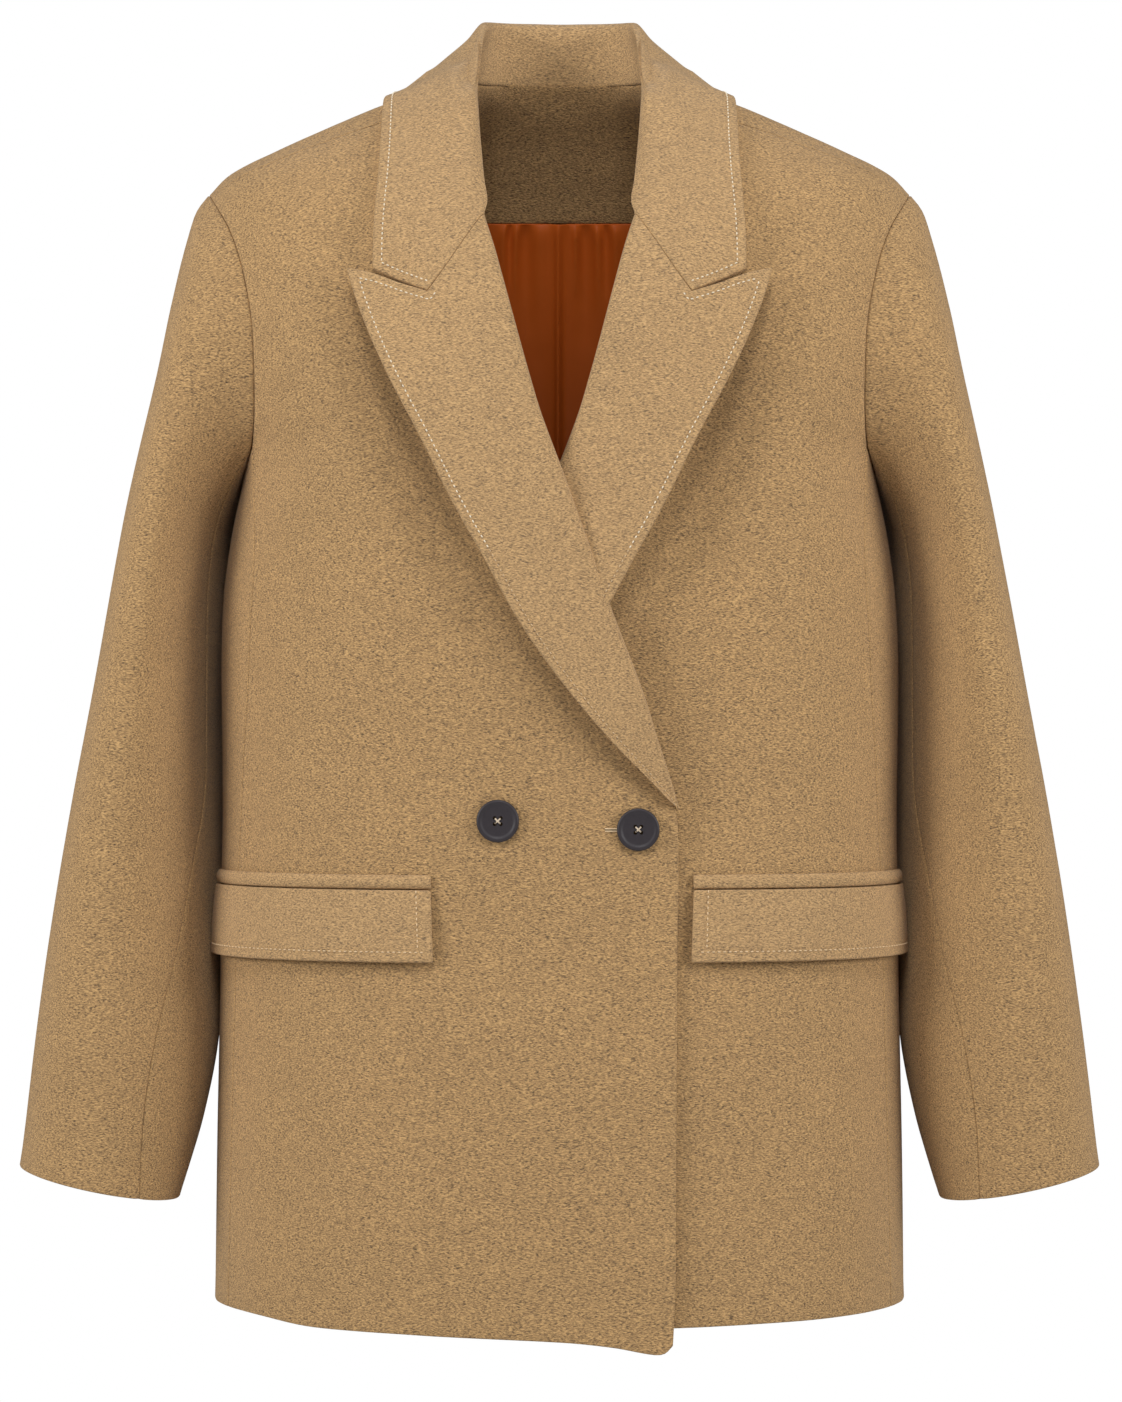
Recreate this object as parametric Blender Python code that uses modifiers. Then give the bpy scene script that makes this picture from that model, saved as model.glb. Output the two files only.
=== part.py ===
"""Double-breasted wool coat, filled out as worn, hollow, with no wearer.

Metres, +Z up. The coat faces -Y and the wearer's right side is -X. The origin is midway between
the two points where the shoulders meet the neck, where a wearer's shoulders carry the coat, and
heights are measured from there.

The body is a stack of level sections, each a rounded box with its own half-width, front depth
and back depth. A point of the body is named by its angle round the section (0 at the centre
front, 90 at the wearer's left side, 180 at the centre back) and its height. Every panel is a
patch of that surface between its own seams, given the thickness of its cloth, and what lies on
a panel is made from the panel's points, moved out. Pieces are worked out for the wearer's left
and mirrored for the right.
"""

import math

import bmesh
import bpy
import numpy as np
from mathutils import Matrix, Vector

# Cloth and seams
WOOL = 0.0025
TURNED = 0.0036  # lapel and collar: cloth and facing pressed together
FLAP_CLOTH = 0.0028
FACING_CLOTH = 0.002
SATIN = 0.001
SEAM = 0.0003
COLLAR_SEAM = 0.0012  # the collar and sleeves turn sharply at their seams, so they stand clearer
SLEEVE_SEAM = 0.0005
ARMHOLE_GAP = 0.0007

# The body's level sections
SECTION_POWER = 2.5
HEM = -0.817  # at the sides and the back


def table(names, *rows):
    """A table's columns by name, from its rows."""
    return dict(zip(names.split(), np.array(rows, dtype=float).T))


BODY = table(
    "height half_width front_depth back_depth",
    (0.0240, 0.0625, 0.0200, 0.0655),
    (0.0208, 0.0700, 0.0225, 0.0665),
    (0.0080, 0.1000, 0.0310, 0.0745),
    (0.0000, 0.1190, 0.0365, 0.0790),
    (-0.0150, 0.1550, 0.0465, 0.0870),
    (-0.0323, 0.1920, 0.0580, 0.0940),
    (-0.0468, 0.2215, 0.0690, 0.0995),
    (-0.0560, 0.2340, 0.0755, 0.1025),
    (-0.0633, 0.2405, 0.0805, 0.1045),
    (-0.0760, 0.2445, 0.0885, 0.1080),
    (-0.1000, 0.2460, 0.1010, 0.1125),
    (-0.1400, 0.2440, 0.1125, 0.1190),
    (-0.1800, 0.2380, 0.1195, 0.1230),
    (-0.2200, 0.2270, 0.1235, 0.1245),
    (-0.2400, 0.2195, 0.1250, 0.1245),
    (-0.2560, 0.2158, 0.1258, 0.1240),
    (-0.2800, 0.2208, 0.1262, 0.1230),
    (-0.3120, 0.2267, 0.1262, 0.1213),
    (-0.3450, 0.2300, 0.1255, 0.1195),
    (-0.3850, 0.2315, 0.1240, 0.1175),
    (-0.4300, 0.2314, 0.1222, 0.1158),
    (-0.4800, 0.2306, 0.1210, 0.1155),
    (-0.5300, 0.2316, 0.1210, 0.1175),
    (-0.6000, 0.2323, 0.1230, 0.1210),
    (-0.7000, 0.2340, 0.1260, 0.1250),
    (-0.8210, 0.2360, 0.1280, 0.1280),
    (-0.8450, 0.2363, 0.1282, 0.1282),
)

# The armhole's distance from the middle, on the front and on the back
ARMHOLE = table(
    "height front back",
    (-0.0633, 0.2405, 0.2405),
    (-0.0820, 0.2285, 0.2310),
    (-0.1010, 0.2185, 0.2225),
    (-0.1380, 0.2085, 0.2130),
    (-0.1680, 0.2045, 0.2085),
    (-0.2000, 0.2037, 0.2070),
    (-0.2220, 0.2044, 0.2075),
    (-0.2360, 0.2057, 0.2085),
    (-0.2480, 0.2100, 0.2115),
    (-0.2560, 0.2158, 0.2158),
)
ARMHOLE_TOP = -0.0633
ARMHOLE_BOTTOM = -0.2560
SHOULDER_SEAM_END = -0.0675  # heights where seams meet the armhole
FRONT_SEAM_TOP = -0.2400
BACK_SEAM_TOP = -0.2360

# The side panel's two seams, as shares of the half-width
SIDE_SEAMS = table(
    "height front back",
    (-0.2360, 0.9380, 0.9426),
    (-0.2400, 0.9420, 0.9400),
    (-0.2800, 0.9260, 0.9100),
    (-0.3300, 0.8940, 0.8800),
    (-0.3800, 0.8955, 0.8720),
    (-0.4300, 0.9090, 0.8700),
    (-0.4700, 0.9230, 0.8720),
    (-0.5300, 0.9320, 0.8800),
    (-0.6000, 0.9375, 0.8860),
    (-0.8450, 0.9450, 0.9000),
)

SHOULDER = table(
    "out height",
    (0.0705, 0.0080),
    (0.1200, -0.0180),
    (0.1460, -0.0265),
    (0.1760, -0.0380),
    (0.2065, -0.0505),
    (0.2212, -0.0575),
    (0.2375, -0.0675),
)

# The neck edge round the body, from the end of the lapel's roll to the centre back
NECK = table(
    "angle height",
    (28.3, -0.0925),
    (31.6, -0.0800),
    (41.7, -0.0480),
    (55.8, -0.0180),
    (71.0, 0.0080),
    (80.0, 0.0160),
    (90.0, 0.0208),
    (120.0, 0.0222),
    (150.0, 0.0228),
    (180.0, 0.0226),
)
NECK_POINT = 71.0  # the angle where the shoulder seam meets the neck edge
GORGE_POINT = 28.3  # the angle where the collar's fold becomes the lapel's roll

# The roll of the lapel and its outer edge, from the neck to the break, seen from the front
ROLL = table(
    "out height",
    (0.0516, -0.0925),
    (0.0449, -0.1114),
    (0.0330, -0.1490),
    (0.0212, -0.1880),
    (0.0095, -0.2265),
    (-0.0030, -0.2597),
    (-0.0147, -0.2930),
    (-0.0265, -0.3263),
    (-0.0363, -0.3571),
    (-0.0461, -0.3845),
    (-0.0559, -0.4146),
    (-0.0657, -0.4512),
    (-0.0760, -0.4790),
)
LAPEL_EDGE = table(
    "out height",
    (0.1390, -0.1262),
    (0.1305, -0.1520),
    (0.1119, -0.1940),
    (0.0885, -0.2390),
    (0.0677, -0.2820),
    (0.0478, -0.3180),
    (0.0265, -0.3571),
    (0.0042, -0.3897),
    (-0.0127, -0.4113),
    (-0.0291, -0.4309),
    (-0.0461, -0.4492),
    (-0.0611, -0.4642),
    (-0.0722, -0.4760),
)
GORGE = table(
    "out height",
    (0.0516, -0.0925),
    (0.0630, -0.1090),
    (0.0745, -0.1268),
    (0.0858, -0.1430),
)
LAPEL_TOP = table(
    "out height",
    (0.1040, -0.1372),
    (0.1225, -0.1302),
    (0.1390, -0.1262),
)
COLLAR_FOOT = table(
    "out height",
    (0.1040, -0.1352),
    (0.1225, -0.1265),
)
FRONT_EDGE = table(
    "out height",
    (-0.0760, -0.4790),
    (-0.0784, -0.4950),
    (-0.0776, -0.5400),
    (-0.0768, -0.6500),
    (-0.0762, -0.7500),
    (-0.0757, -0.8165),
    (-0.0742, -0.8310),
)
UNDER_EDGE_RISE = 0.0145  # the under front's corner is higher, and its edge draws up from here
UNDER_EDGE_RISE_FROM = -0.5500
# The fronts' hems, by distance from the middle
FRONT_HEM = table(
    "out over under",
    (-0.0660, -0.8366, -0.8205),
    (-0.0470, -0.8335, -0.8205),
    (-0.0240, -0.8302, -0.8205),
    (0.0000, -0.8281, -0.8205),
    (0.0900, -0.8245, -0.8200),
    (0.1200, -0.8234, -0.8190),
    (0.1550, -0.8226, -0.8182),
    (0.1730, -0.8214, -0.8177),
    (0.1900, -0.8192, -0.8173),
    (0.2115, -0.8172, -0.8170),
    (0.2300, -0.8170, -0.8170),
)
FRONT_HEM_SPREAD = 0.9

# How the under front is set in behind the lapping one
SET_IN = table(
    "height depth",
    (-0.1500, 0.0),
    (-0.2450, 0.0090),
    (-0.4800, 0.0090),
    (-0.5300, 0.0048),
    (-0.8450, 0.0048),
)
SET_IN_FROM = 0.092
SET_IN_TO = 0.185

# The turned lip of cloth round a fold: distance past the fold and height over the body
LIP = table(
    "outer_past outer_lift inner_past inner_lift",
    (0.0036, -0.0022, 0.0009, -0.0026),
    (0.0040, 0.0012, 0.0009, -0.0002),
    (0.0026, 0.0040, 0.0006, 0.0010),
)
LAPEL_LIFT = 0.0015
LAPEL_EDGE_DROP = 0.0006  # how much closer its outer edge lies
LAPEL_BELLY = 0.0016
LAPEL_BELLY_FADES = (0.15, 0.4)  # shares of the way down
LAPEL_TAPER = 0.45  # how thin the lapel is at the break
LAPEL_TAPERS_FROM = 0.8

# The collar from the centre back to the gorge: its fold and its outer edge
COLLAR = table(
    "station neck_angle fold_x fold_y fold_z edge_x edge_y edge_z bulge",
    (0.0, 180.0, 0.0000, 0.0705, 0.0687, 0.0000, 0.0840, 0.0020, 0.003),
    (0.1, 158.0, 0.0270, 0.0695, 0.0690, 0.0340, 0.0820, 0.0010, 0.003),
    (0.2, 136.0, 0.0445, 0.0630, 0.0685, 0.0630, 0.0730, 0.0000, 0.005),
    (0.3, 116.0, 0.0530, 0.0490, 0.0660, 0.0890, 0.0540, -0.0010, 0.006),
    (0.4, 98.0, 0.0565, 0.0300, 0.0550, 0.1085, 0.0260, 0.0010, 0.006),
    (0.5, 83.0, 0.0573, 0.0100, 0.0380, 0.1165, 0.0020, 0.0040, 0.004),
    (0.6, 70.0, 0.0576, -0.0130, 0.0180, 0.1190, -0.0260, -0.0100, 0.003),
    (0.7, 56.0, 0.0574, -0.0370, -0.0050, 0.1200, -0.0470, -0.0340, 0.003),
    (0.8, 43.0, 0.0568, -0.0620, -0.0360, 0.1203, -0.0630, -0.0620, 0.002),
    (0.9, 32.6, 0.0562, -0.0860, -0.0680, 0.1213, -0.0770, -0.0940, 0.001),
    (1.0, 28.3, 0.0532, -0.1000, -0.0925, 0.1225, -0.0900, -0.1265, 0.0),
)
FOLD_RADIUS = 0.0055
STAND_ROW = 0.55  # share of the stand's height with a row of points
FALL_ROWS = np.array([0.06, 0.3, 0.55, 0.78, 1.0])  # shares of the fall's depth
COLLAR_CLEAR = 0.0012
STAND_CLEAR = 0.0010
FOLD_LIES_FROM = 0.64  # the station from which the fold lies on the fronts

# The sleeve's rings, from the armhole to the cuff: its outer and inner lines seen from the front,
# half its depth, how far forward it hangs, the angles of its two seams, and how much of the
# armhole's own shape is left
SLEEVE = table(
    "outer_x outer_z inner_x inner_z depth forward twist front_seam back_seam armhole_share",
    (0.2405, -0.0633, 0.2158, -0.2560, 0.0745, 0.000, 0.0000, 0.0, 0.0, 1.00),
    (0.2478, -0.0735, 0.2183, -0.2650, 0.0765, 0.000, 0.0030, 150.0, -113.0, 0.65),
    (0.2530, -0.0930, 0.2222, -0.2750, 0.0790, 0.000, 0.0060, 154.0, -112.0, 0.35),
    (0.2598, -0.1270, 0.2272, -0.2900, 0.0805, 0.001, 0.0090, 158.0, -111.0, 0.12),
    (0.2686, -0.1780, 0.2320, -0.3130, 0.0810, 0.002, 0.0120, 162.0, -110.0, 0.00),
    (0.2775, -0.2220, 0.2356, -0.3420, 0.0805, 0.004, 0.0140, 166.0, -109.0, 0.00),
    (0.2865, -0.2650, 0.2376, -0.3780, 0.0790, 0.006, 0.0150, 170.0, -108.0, 0.00),
    (0.2968, -0.3200, 0.2388, -0.4200, 0.0770, 0.009, 0.0160, 173.0, -107.0, 0.00),
    (0.3090, -0.3910, 0.2388, -0.4750, 0.0740, 0.013, 0.0185, 172.0, -106.0, 0.00),
    (0.3217, -0.4620, 0.2383, -0.5320, 0.0700, 0.017, 0.0205, 158.0, -105.0, 0.00),
    (0.3340, -0.5320, 0.2370, -0.5880, 0.0650, 0.021, 0.0210, 145.0, -104.0, 0.00),
    (0.3460, -0.6000, 0.2366, -0.6400, 0.0600, 0.025, 0.0180, 131.0, -103.0, 0.00),
    (0.3568, -0.6640, 0.2445, -0.6940, 0.0545, 0.028, 0.0110, 125.0, -102.0, 0.00),
    (0.3655, -0.7240, 0.2588, -0.7475, 0.0500, 0.030, 0.0040, 130.0, -101.0, 0.00),
)
UPPER_SLEEVE_BACK_COLUMNS = 9

# Pockets: heights, and the distance of their inner ends from the middle
POCKET_INNER_ENDS = {-1.0: 0.0838, 1.0: 0.0881}
POCKET_OUTER_ANGLE = 84.0
JET = table(
    "height outer_lift inner_lift",
    (-0.5240, 0.0018, 0.0008),
    (-0.5268, 0.0036, 0.0008),
    (-0.5305, 0.0038, 0.0008),
    (-0.5332, 0.0026, 0.0008),
)
FLAP = table(
    "height outer_lift",
    (-0.5338, 0.0042),
    (-0.5480, 0.0056),
    (-0.5650, 0.0064),
    (-0.5812, 0.0066),
)
FLAP_END_FLARE = 0.0028  # how much the flap's lower edge widens towards its foot

# Inside the back: where the neck facing ends and the lining begins
FACING_TOP = 0.0205
FACING_TOP_OUT = 0.0650
FACING_FOOT = -0.0665
FACING_FOOT_OUT = 0.1050
FACING_LIFT = -0.0048
FACING_SINKS_BY = 0.2  # share of its depth over which it sinks away from the back
FACING_ROWS = 5
FACING_SKIPS = 2  # how many of the back's neck columns it leaves free beside each shoulder seam
LINING_LIFT = -0.0062
LINING = table(
    "height out",
    (-0.0665, 0.1050),
    (-0.1000, 0.1500),
    (-0.2500, 0.1800),
    (-0.5000, 0.1880),
    (-0.8000, 0.1920),
)
LINING_ROWS = 12
LINING_ROW_SPREAD = 1.2
LINING_HALF_COLUMNS = 9
LINING_COLUMN_SPREAD = 1.6
PLEAT_DEPTH = 0.0035
PLEAT_WIDTH = 2.6  # degrees round the body

# Buttons: x, height on the lapping front, and the turned profile (radius, height over its back)
BUTTON_PLACES = {"button_right": (-0.0402, -0.4884), "button_left": (0.0513, -0.4940)}
BUTTON_PROFILE = table(
    "radius height",
    (0.0000, 0.0026),
    (0.0106, 0.0026),
    (0.0117, 0.0031),
    (0.0129, 0.0033),
    (0.0138, 0.0028),
    (0.0140, 0.0018),
    (0.0132, 0.0006),
    (0.0118, 0.0000),
    (0.0000, 0.0000),
)
BUTTON_SIDES = 30
BUTTON_SEAT = 0.0005
THREAD_HOLE = 0.00125
THREAD_HOLE_OUT = 0.0028
THREAD_HOLES = 4
DRILL_LENGTH = 0.02

# Mesh counts
SHOULDER_COLUMNS = 7
FRONT_NECK_COLUMNS = 5
BACK_NECK_COLUMNS = 12
ARMHOLE_FRONT_STEPS = 9
ARMHOLE_SIDE_STEPS = 6
ARMHOLE_BACK_STEPS = 11
SIDE_STEPS = 14
ROLL_STEPS = 14
LAPEL_STEPS = 18
COLLAR_STEPS = 16
POCKET_COLUMNS = 9
BACK_FADE = 4.0

# Colours, roughness
FINISHES = {
    "wool": ((0.39, 0.25, 0.12, 1.0), 0.9),
    "lining": ((0.35, 0.08, 0.02, 1.0), 0.4),
    "button": ((0.04, 0.032, 0.038, 1.0), 0.5),
}


# Curves and surfaces --------------------------------------------------------------------------


def smooth(xs, ys, x):
    """A smooth curve through points with rising xs, which never overshoots them."""
    slopes = np.diff(ys) / np.diff(xs)
    tangents = np.concatenate(([slopes[0]], np.zeros(len(xs) - 2), [slopes[-1]]))
    for i in range(1, len(xs) - 1):
        if slopes[i - 1] * slopes[i] > 0:
            tangents[i] = 2 / (1 / slopes[i - 1] + 1 / slopes[i])
    x = np.clip(x, xs[0], xs[-1])
    i = np.clip(np.searchsorted(xs, x) - 1, 0, len(xs) - 2)
    width = xs[i + 1] - xs[i]
    t = (x - xs[i]) / width
    from_start = (1 + 2 * t) * (1 - t) ** 2 * ys[i] + t * (1 - t) ** 2 * width * tangents[i]
    from_end = t**2 * (3 - 2 * t) * ys[i + 1] + t**2 * (t - 1) * width * tangents[i + 1]
    return from_start + from_end


def read(columns, name, at, key="height"):
    """One column of a table, read smoothly where the key column has the value given."""
    order = np.argsort(columns[key])
    return smooth(columns[key][order], columns[name][order], np.asarray(at, dtype=float))


def traced(columns, steps, names=("out", "height")):
    """Evenly spaced points along the smooth line through a table's points."""
    points = np.stack([columns[name] for name in names], axis=-1)
    run = np.concatenate(([0.0], np.cumsum(np.linalg.norm(np.diff(points, axis=0), axis=1))))
    at = np.linspace(0.0, run[-1], steps + 1)
    return np.stack([smooth(run, points[:, k], at) for k in range(points.shape[1])], axis=-1)


def unit(vectors):
    return vectors / np.linalg.norm(vectors, axis=-1, keepdims=True)


def fraction(steps):
    return np.linspace(0.0, 1.0, steps + 1)


def mix(a, b, share):
    return a + (b - a) * share


def eased(low, high, value):
    """0 below low and 1 above high, with a soft start and end."""
    t = np.clip((value - low) / (high - low), 0.0, 1.0)
    return t * t * (3 - 2 * t)


def body_ratio(points):
    """1 on the body's face, less inside and more outside."""
    x, y, z = np.moveaxis(points, -1, 0)
    depth = np.where(y < 0, read(BODY, "front_depth", z), read(BODY, "back_depth", z))
    across = np.abs(x) / read(BODY, "half_width", z)
    along = np.abs(y) / depth
    return (across**SECTION_POWER + along**SECTION_POWER) ** (1 / SECTION_POWER)


def body_slope(points):
    """How the ratio changes in x, y and z."""
    step = 1e-5
    shifts = np.eye(3) * step
    return np.stack(
        [(body_ratio(points + s) - body_ratio(points - s)) / (2 * step) for s in shifts], axis=-1
    )


def outward(points):
    return unit(body_slope(points))


def body_point(angle, height):
    """The point of the body's face at an angle in degrees and a height."""
    angle = np.radians(angle)
    height = np.broadcast_to(height, angle.shape)
    front = np.cos(angle) > 0
    depth = np.where(front, read(BODY, "front_depth", height), read(BODY, "back_depth", height))
    across = np.abs(np.sin(angle)) / read(BODY, "half_width", height)
    along = np.abs(np.cos(angle)) / depth
    reach = (across**SECTION_POWER + along**SECTION_POWER) ** (-1 / SECTION_POWER)
    return np.stack([reach * np.sin(angle), -reach * np.cos(angle), height], axis=-1)


def angle_at(out, height, back=False):
    """The angle of the front's (or the back's) point at a distance from the middle."""
    depth = read(BODY, "back_depth" if back else "front_depth", height)
    share = np.minimum(np.abs(out) / read(BODY, "half_width", height), 1.0)
    y = depth * (1 - share**SECTION_POWER) ** (1 / SECTION_POWER)
    return np.degrees(np.arctan2(out, -y if back else y))


def seated(points, lift):
    """Rough points moved onto the body's face and then out by a lift."""
    for _ in range(6):
        slope = body_slope(points)
        step = (body_ratio(points) - 1) / np.sum(slope * slope, axis=-1)
        points = points - slope * step[..., None]
    return points + outward(points) * np.asarray(lift)[..., None]


def kept_off(points, lift):
    """Points moved out where they lie closer to the body's face than a lift."""
    slope = body_slope(points)
    length = np.linalg.norm(slope, axis=-1)
    short = np.maximum(lift - (body_ratio(points) - 1) / length, 0.0)
    return points + slope / length[..., None] * short[..., None]


def kept_off_panels(points, lift):
    """The same, but only where there are panels: below the neck edge."""
    below = points[..., 2:] < NECK["height"].max()
    return np.where(below, kept_off(points, lift), points)


def patch(top, bottom, left, right, fade=1.0):
    """A grid of points spanned between four edges, rows from top to bottom. The top's own form
    fades out sooner down the rows with a larger fade."""
    u = fraction(len(top) - 1)[None, :, None]
    v = fraction(len(left) - 1)[:, None, None]
    top_form = top[None] - mix(top[0], top[-1], u)
    bottom_form = bottom[None] - mix(bottom[0], bottom[-1], u)
    return mix(left[:, None], right[:, None], u) + top_form * (1 - v) ** fade + bottom_form * v


def grid_normals(points):
    """Unit normals of a grid, from the slopes of its rows and columns."""
    return unit(np.cross(np.gradient(points, axis=1), np.gradient(points, axis=0)))


# Solids ---------------------------------------------------------------------------------------


def mirrored(points, side):
    return points * np.array([side, 1.0, 1.0])


def eased_seams(outer, inner, seams, gap):
    """Both faces of a piece, drawn back by half the seam gap along the seams named."""
    ends = {
        "top": (np.s_[0], np.s_[1]),
        "bottom": (np.s_[-1], np.s_[-2]),
        "left": (np.s_[:, 0], np.s_[:, 1]),
        "right": (np.s_[:, -1], np.s_[:, -2]),
    }
    outer = outer.copy()
    inner = inner.copy()
    for name in seams:
        edge, beside = ends[name]
        along = unit(np.gradient(outer[edge], axis=0))
        step = unit(outer[beside] - outer[edge])
        step = step - along * np.sum(step * along, axis=-1, keepdims=True)
        step = unit(step) * gap / 2
        outer[edge] += step
        inner[edge] += step
    return outer, inner


def material(slot):
    found = bpy.data.materials.get(slot)
    if found:
        return found
    color, roughness = FINISHES[slot]
    made = bpy.data.materials.new(slot)
    made.use_nodes = True
    shader = made.node_tree.nodes["Principled BSDF"]
    shader.inputs["Base Color"].default_value = color
    shader.inputs["Roughness"].default_value = roughness
    made.diffuse_color = color
    return made


def add_object(name, mesh, slot, collection):
    mesh.materials.append(material(slot))
    made = bpy.data.objects.new(name, mesh)
    collection.objects.link(made)
    return made


def wall(name, outer, inner, slot, collection, seams=(), gap=SEAM):
    """A closed sheet between two grids of points: its two faces and the strips round its edge."""
    outer, inner = eased_seams(outer, inner, seams, gap)
    rows, columns = outer.shape[:2]
    mesh = bpy.data.meshes.new(name)
    shape = bmesh.new()
    faces = [
        [[shape.verts.new(point) for point in row] for row in sheet] for sheet in (outer, inner)
    ]
    for sheet in faces:
        for i in range(rows - 1):
            for j in range(columns - 1):
                shape.faces.new(
                    (sheet[i][j], sheet[i + 1][j], sheet[i + 1][j + 1], sheet[i][j + 1])
                )
    rim = [(0, j) for j in range(columns)]
    rim += [(i, columns - 1) for i in range(1, rows)]
    rim += [(rows - 1, j) for j in range(columns - 2, -1, -1)]
    rim += [(i, 0) for i in range(rows - 2, 0, -1)]
    for here, after in zip(rim, rim[1:] + rim[:1]):
        corners = [faces[k][i][j] for k, (i, j) in ((0, here), (0, after), (1, after), (1, here))]
        shape.faces.new(corners)
    bmesh.ops.recalc_face_normals(shape, faces=shape.faces)
    bmesh.ops.triangulate(shape, faces=shape.faces, quad_method="SHORT_EDGE")
    shape.to_mesh(mesh)
    shape.free()
    mesh.shade_smooth()
    mesh.set_sharp_from_angle(angle=math.radians(40))
    return add_object(name, mesh, slot, collection)


def body_wall(name, domain, lift, thickness, slot, collection, side=1.0, seams=()):
    """A wall on the body's face, from a grid of (angle, height) and a lift over the face."""
    base = body_point(domain[..., 0], domain[..., 1])
    out = outward(base)
    outer = base + out * np.asarray(lift)[..., None]
    inner = outer - out * thickness
    return wall(name, mirrored(outer, side), mirrored(inner, side), slot, collection, seams)


# Lines that neighbouring pieces share -----------------------------------------------------------


def armhole_angles():
    """Angles round the armhole, from its front seam over the top and back under the arm."""
    middle = (ARMHOLE_TOP + ARMHOLE_BOTTOM) / 2
    reach = (ARMHOLE_TOP - ARMHOLE_BOTTOM) / 2
    front = math.degrees(math.acos((FRONT_SEAM_TOP - middle) / reach))
    shoulder = math.degrees(math.acos((SHOULDER_SEAM_END - middle) / reach))
    back = -math.degrees(math.acos((BACK_SEAM_TOP - middle) / reach))
    return np.concatenate(
        [
            mix(front, shoulder, fraction(ARMHOLE_FRONT_STEPS)),
            mix(shoulder, back, fraction(ARMHOLE_BACK_STEPS))[1:],
            mix(back, front - 360, fraction(ARMHOLE_SIDE_STEPS))[1:],
        ]
    )


def armhole_domain(turn):
    """The armhole's edge on the body, as (angle, height), at angles round the armhole."""
    middle = (ARMHOLE_TOP + ARMHOLE_BOTTOM) / 2
    reach = (ARMHOLE_TOP - ARMHOLE_BOTTOM) / 2
    height = middle + reach * np.cos(np.radians(turn))
    front = angle_at(read(ARMHOLE, "front", height), height)
    back = angle_at(read(ARMHOLE, "back", height), height, back=True)
    return np.stack([np.where(np.sin(np.radians(turn)) > 0, front, back), height], axis=-1)


def side_seam(which, top):
    """One side panel seam from the armhole to the hem, as (angle, height)."""
    height = mix(top, HEM, fraction(SIDE_STEPS))
    out = read(SIDE_SEAMS, which, height) * read(BODY, "half_width", height)
    line = np.stack([angle_at(out, height, back=which == "back"), height], axis=-1)
    start = armhole_domain(armhole_angles())
    fade = np.clip(1 - fraction(SIDE_STEPS) * 5, 0.0, 1.0)[:, None]
    joint = start[0] if which == "front" else start[ARMHOLE_FRONT_STEPS + ARMHOLE_BACK_STEPS]
    return line + (joint - line[0]) * fade


def shoulder_seam():
    """From the neck point to the armhole."""
    line = traced(SHOULDER, SHOULDER_COLUMNS)
    domain = np.stack([angle_at(line[:, 0], line[:, 1]), line[:, 1]], axis=-1)
    domain[0] = (NECK_POINT, read(NECK, "height", NECK_POINT, key="angle"))
    domain[-1] = armhole_domain(armhole_angles())[ARMHOLE_FRONT_STEPS]
    return domain


def neck_edge(start, end, steps):
    angle = mix(start, end, fraction(steps))
    return np.stack([angle, read(NECK, "height", angle, key="angle")], axis=-1)


def panels_neck_points(angle):
    """Points of the panels' own neck edge, with its flat stretches between corners."""
    front_half = neck_edge(GORGE_POINT, NECK_POINT, FRONT_NECK_COLUMNS)
    back_half = neck_edge(NECK_POINT, 180.0, BACK_NECK_COLUMNS // 2)
    corners = np.concatenate([front_half, back_half[1:]])
    points = body_point(corners[:, 0], corners[:, 1])
    return np.stack([np.interp(angle, corners[:, 0], points[:, k]) for k in range(3)], axis=-1)


def front_domain_line(columns, steps):
    line = traced(columns, steps)
    return np.stack([angle_at(line[:, 0], line[:, 1]), line[:, 1]], axis=-1)


def set_in(points_x, height):
    """How far the under front lies behind the body's face."""
    near = 1 - eased(SET_IN_FROM, SET_IN_TO, points_x)
    return read(SET_IN, "depth", height) * near


# Pieces -----------------------------------------------------------------------------------------


def front(name, side, collection):
    """One front: shoulder seam and neck edge on top, roll and front edge, hem, seam and armhole."""
    over = side < 0
    top = np.concatenate(
        [neck_edge(GORGE_POINT, NECK_POINT, FRONT_NECK_COLUMNS)[:-1], shoulder_seam()]
    )
    armhole = armhole_domain(armhole_angles()[: ARMHOLE_FRONT_STEPS + 1])[::-1]
    outer_edge = np.concatenate([armhole, side_seam("front", FRONT_SEAM_TOP)[1:]])
    edge_steps = len(outer_edge) - 1 - ROLL_STEPS
    inner_edge = np.concatenate(
        [front_domain_line(ROLL, ROLL_STEPS), front_domain_line(FRONT_EDGE, edge_steps)[1:]]
    )
    columns = len(top) - 1
    if not over:
        drawn = eased(UNDER_EDGE_RISE_FROM, FRONT_EDGE["height"][-1], inner_edge[:, 1])
        inner_edge[:, 1] += UNDER_EDGE_RISE * drawn
    last = angle_at(FRONT_HEM["out"][0], HEM)
    angles = mix(last, outer_edge[-1, 0], fraction(columns - 1) ** FRONT_HEM_SPREAD)
    out = body_point(angles, HEM)[:, 0]
    heights = read(FRONT_HEM, "over" if over else "under", out, key="out")
    bottom = np.concatenate([inner_edge[-1:], np.stack([angles, heights], axis=-1)])
    domain = patch(top, bottom, inner_edge, outer_edge)
    base = body_point(domain[..., 0], domain[..., 1])
    lift = np.zeros(domain.shape[:2])
    if not over:
        lift = -set_in(base[..., 0], base[..., 2])
    seams = ("top", "right")
    body_wall(name, domain, lift, WOOL, "wool", collection, side, seams)


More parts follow.
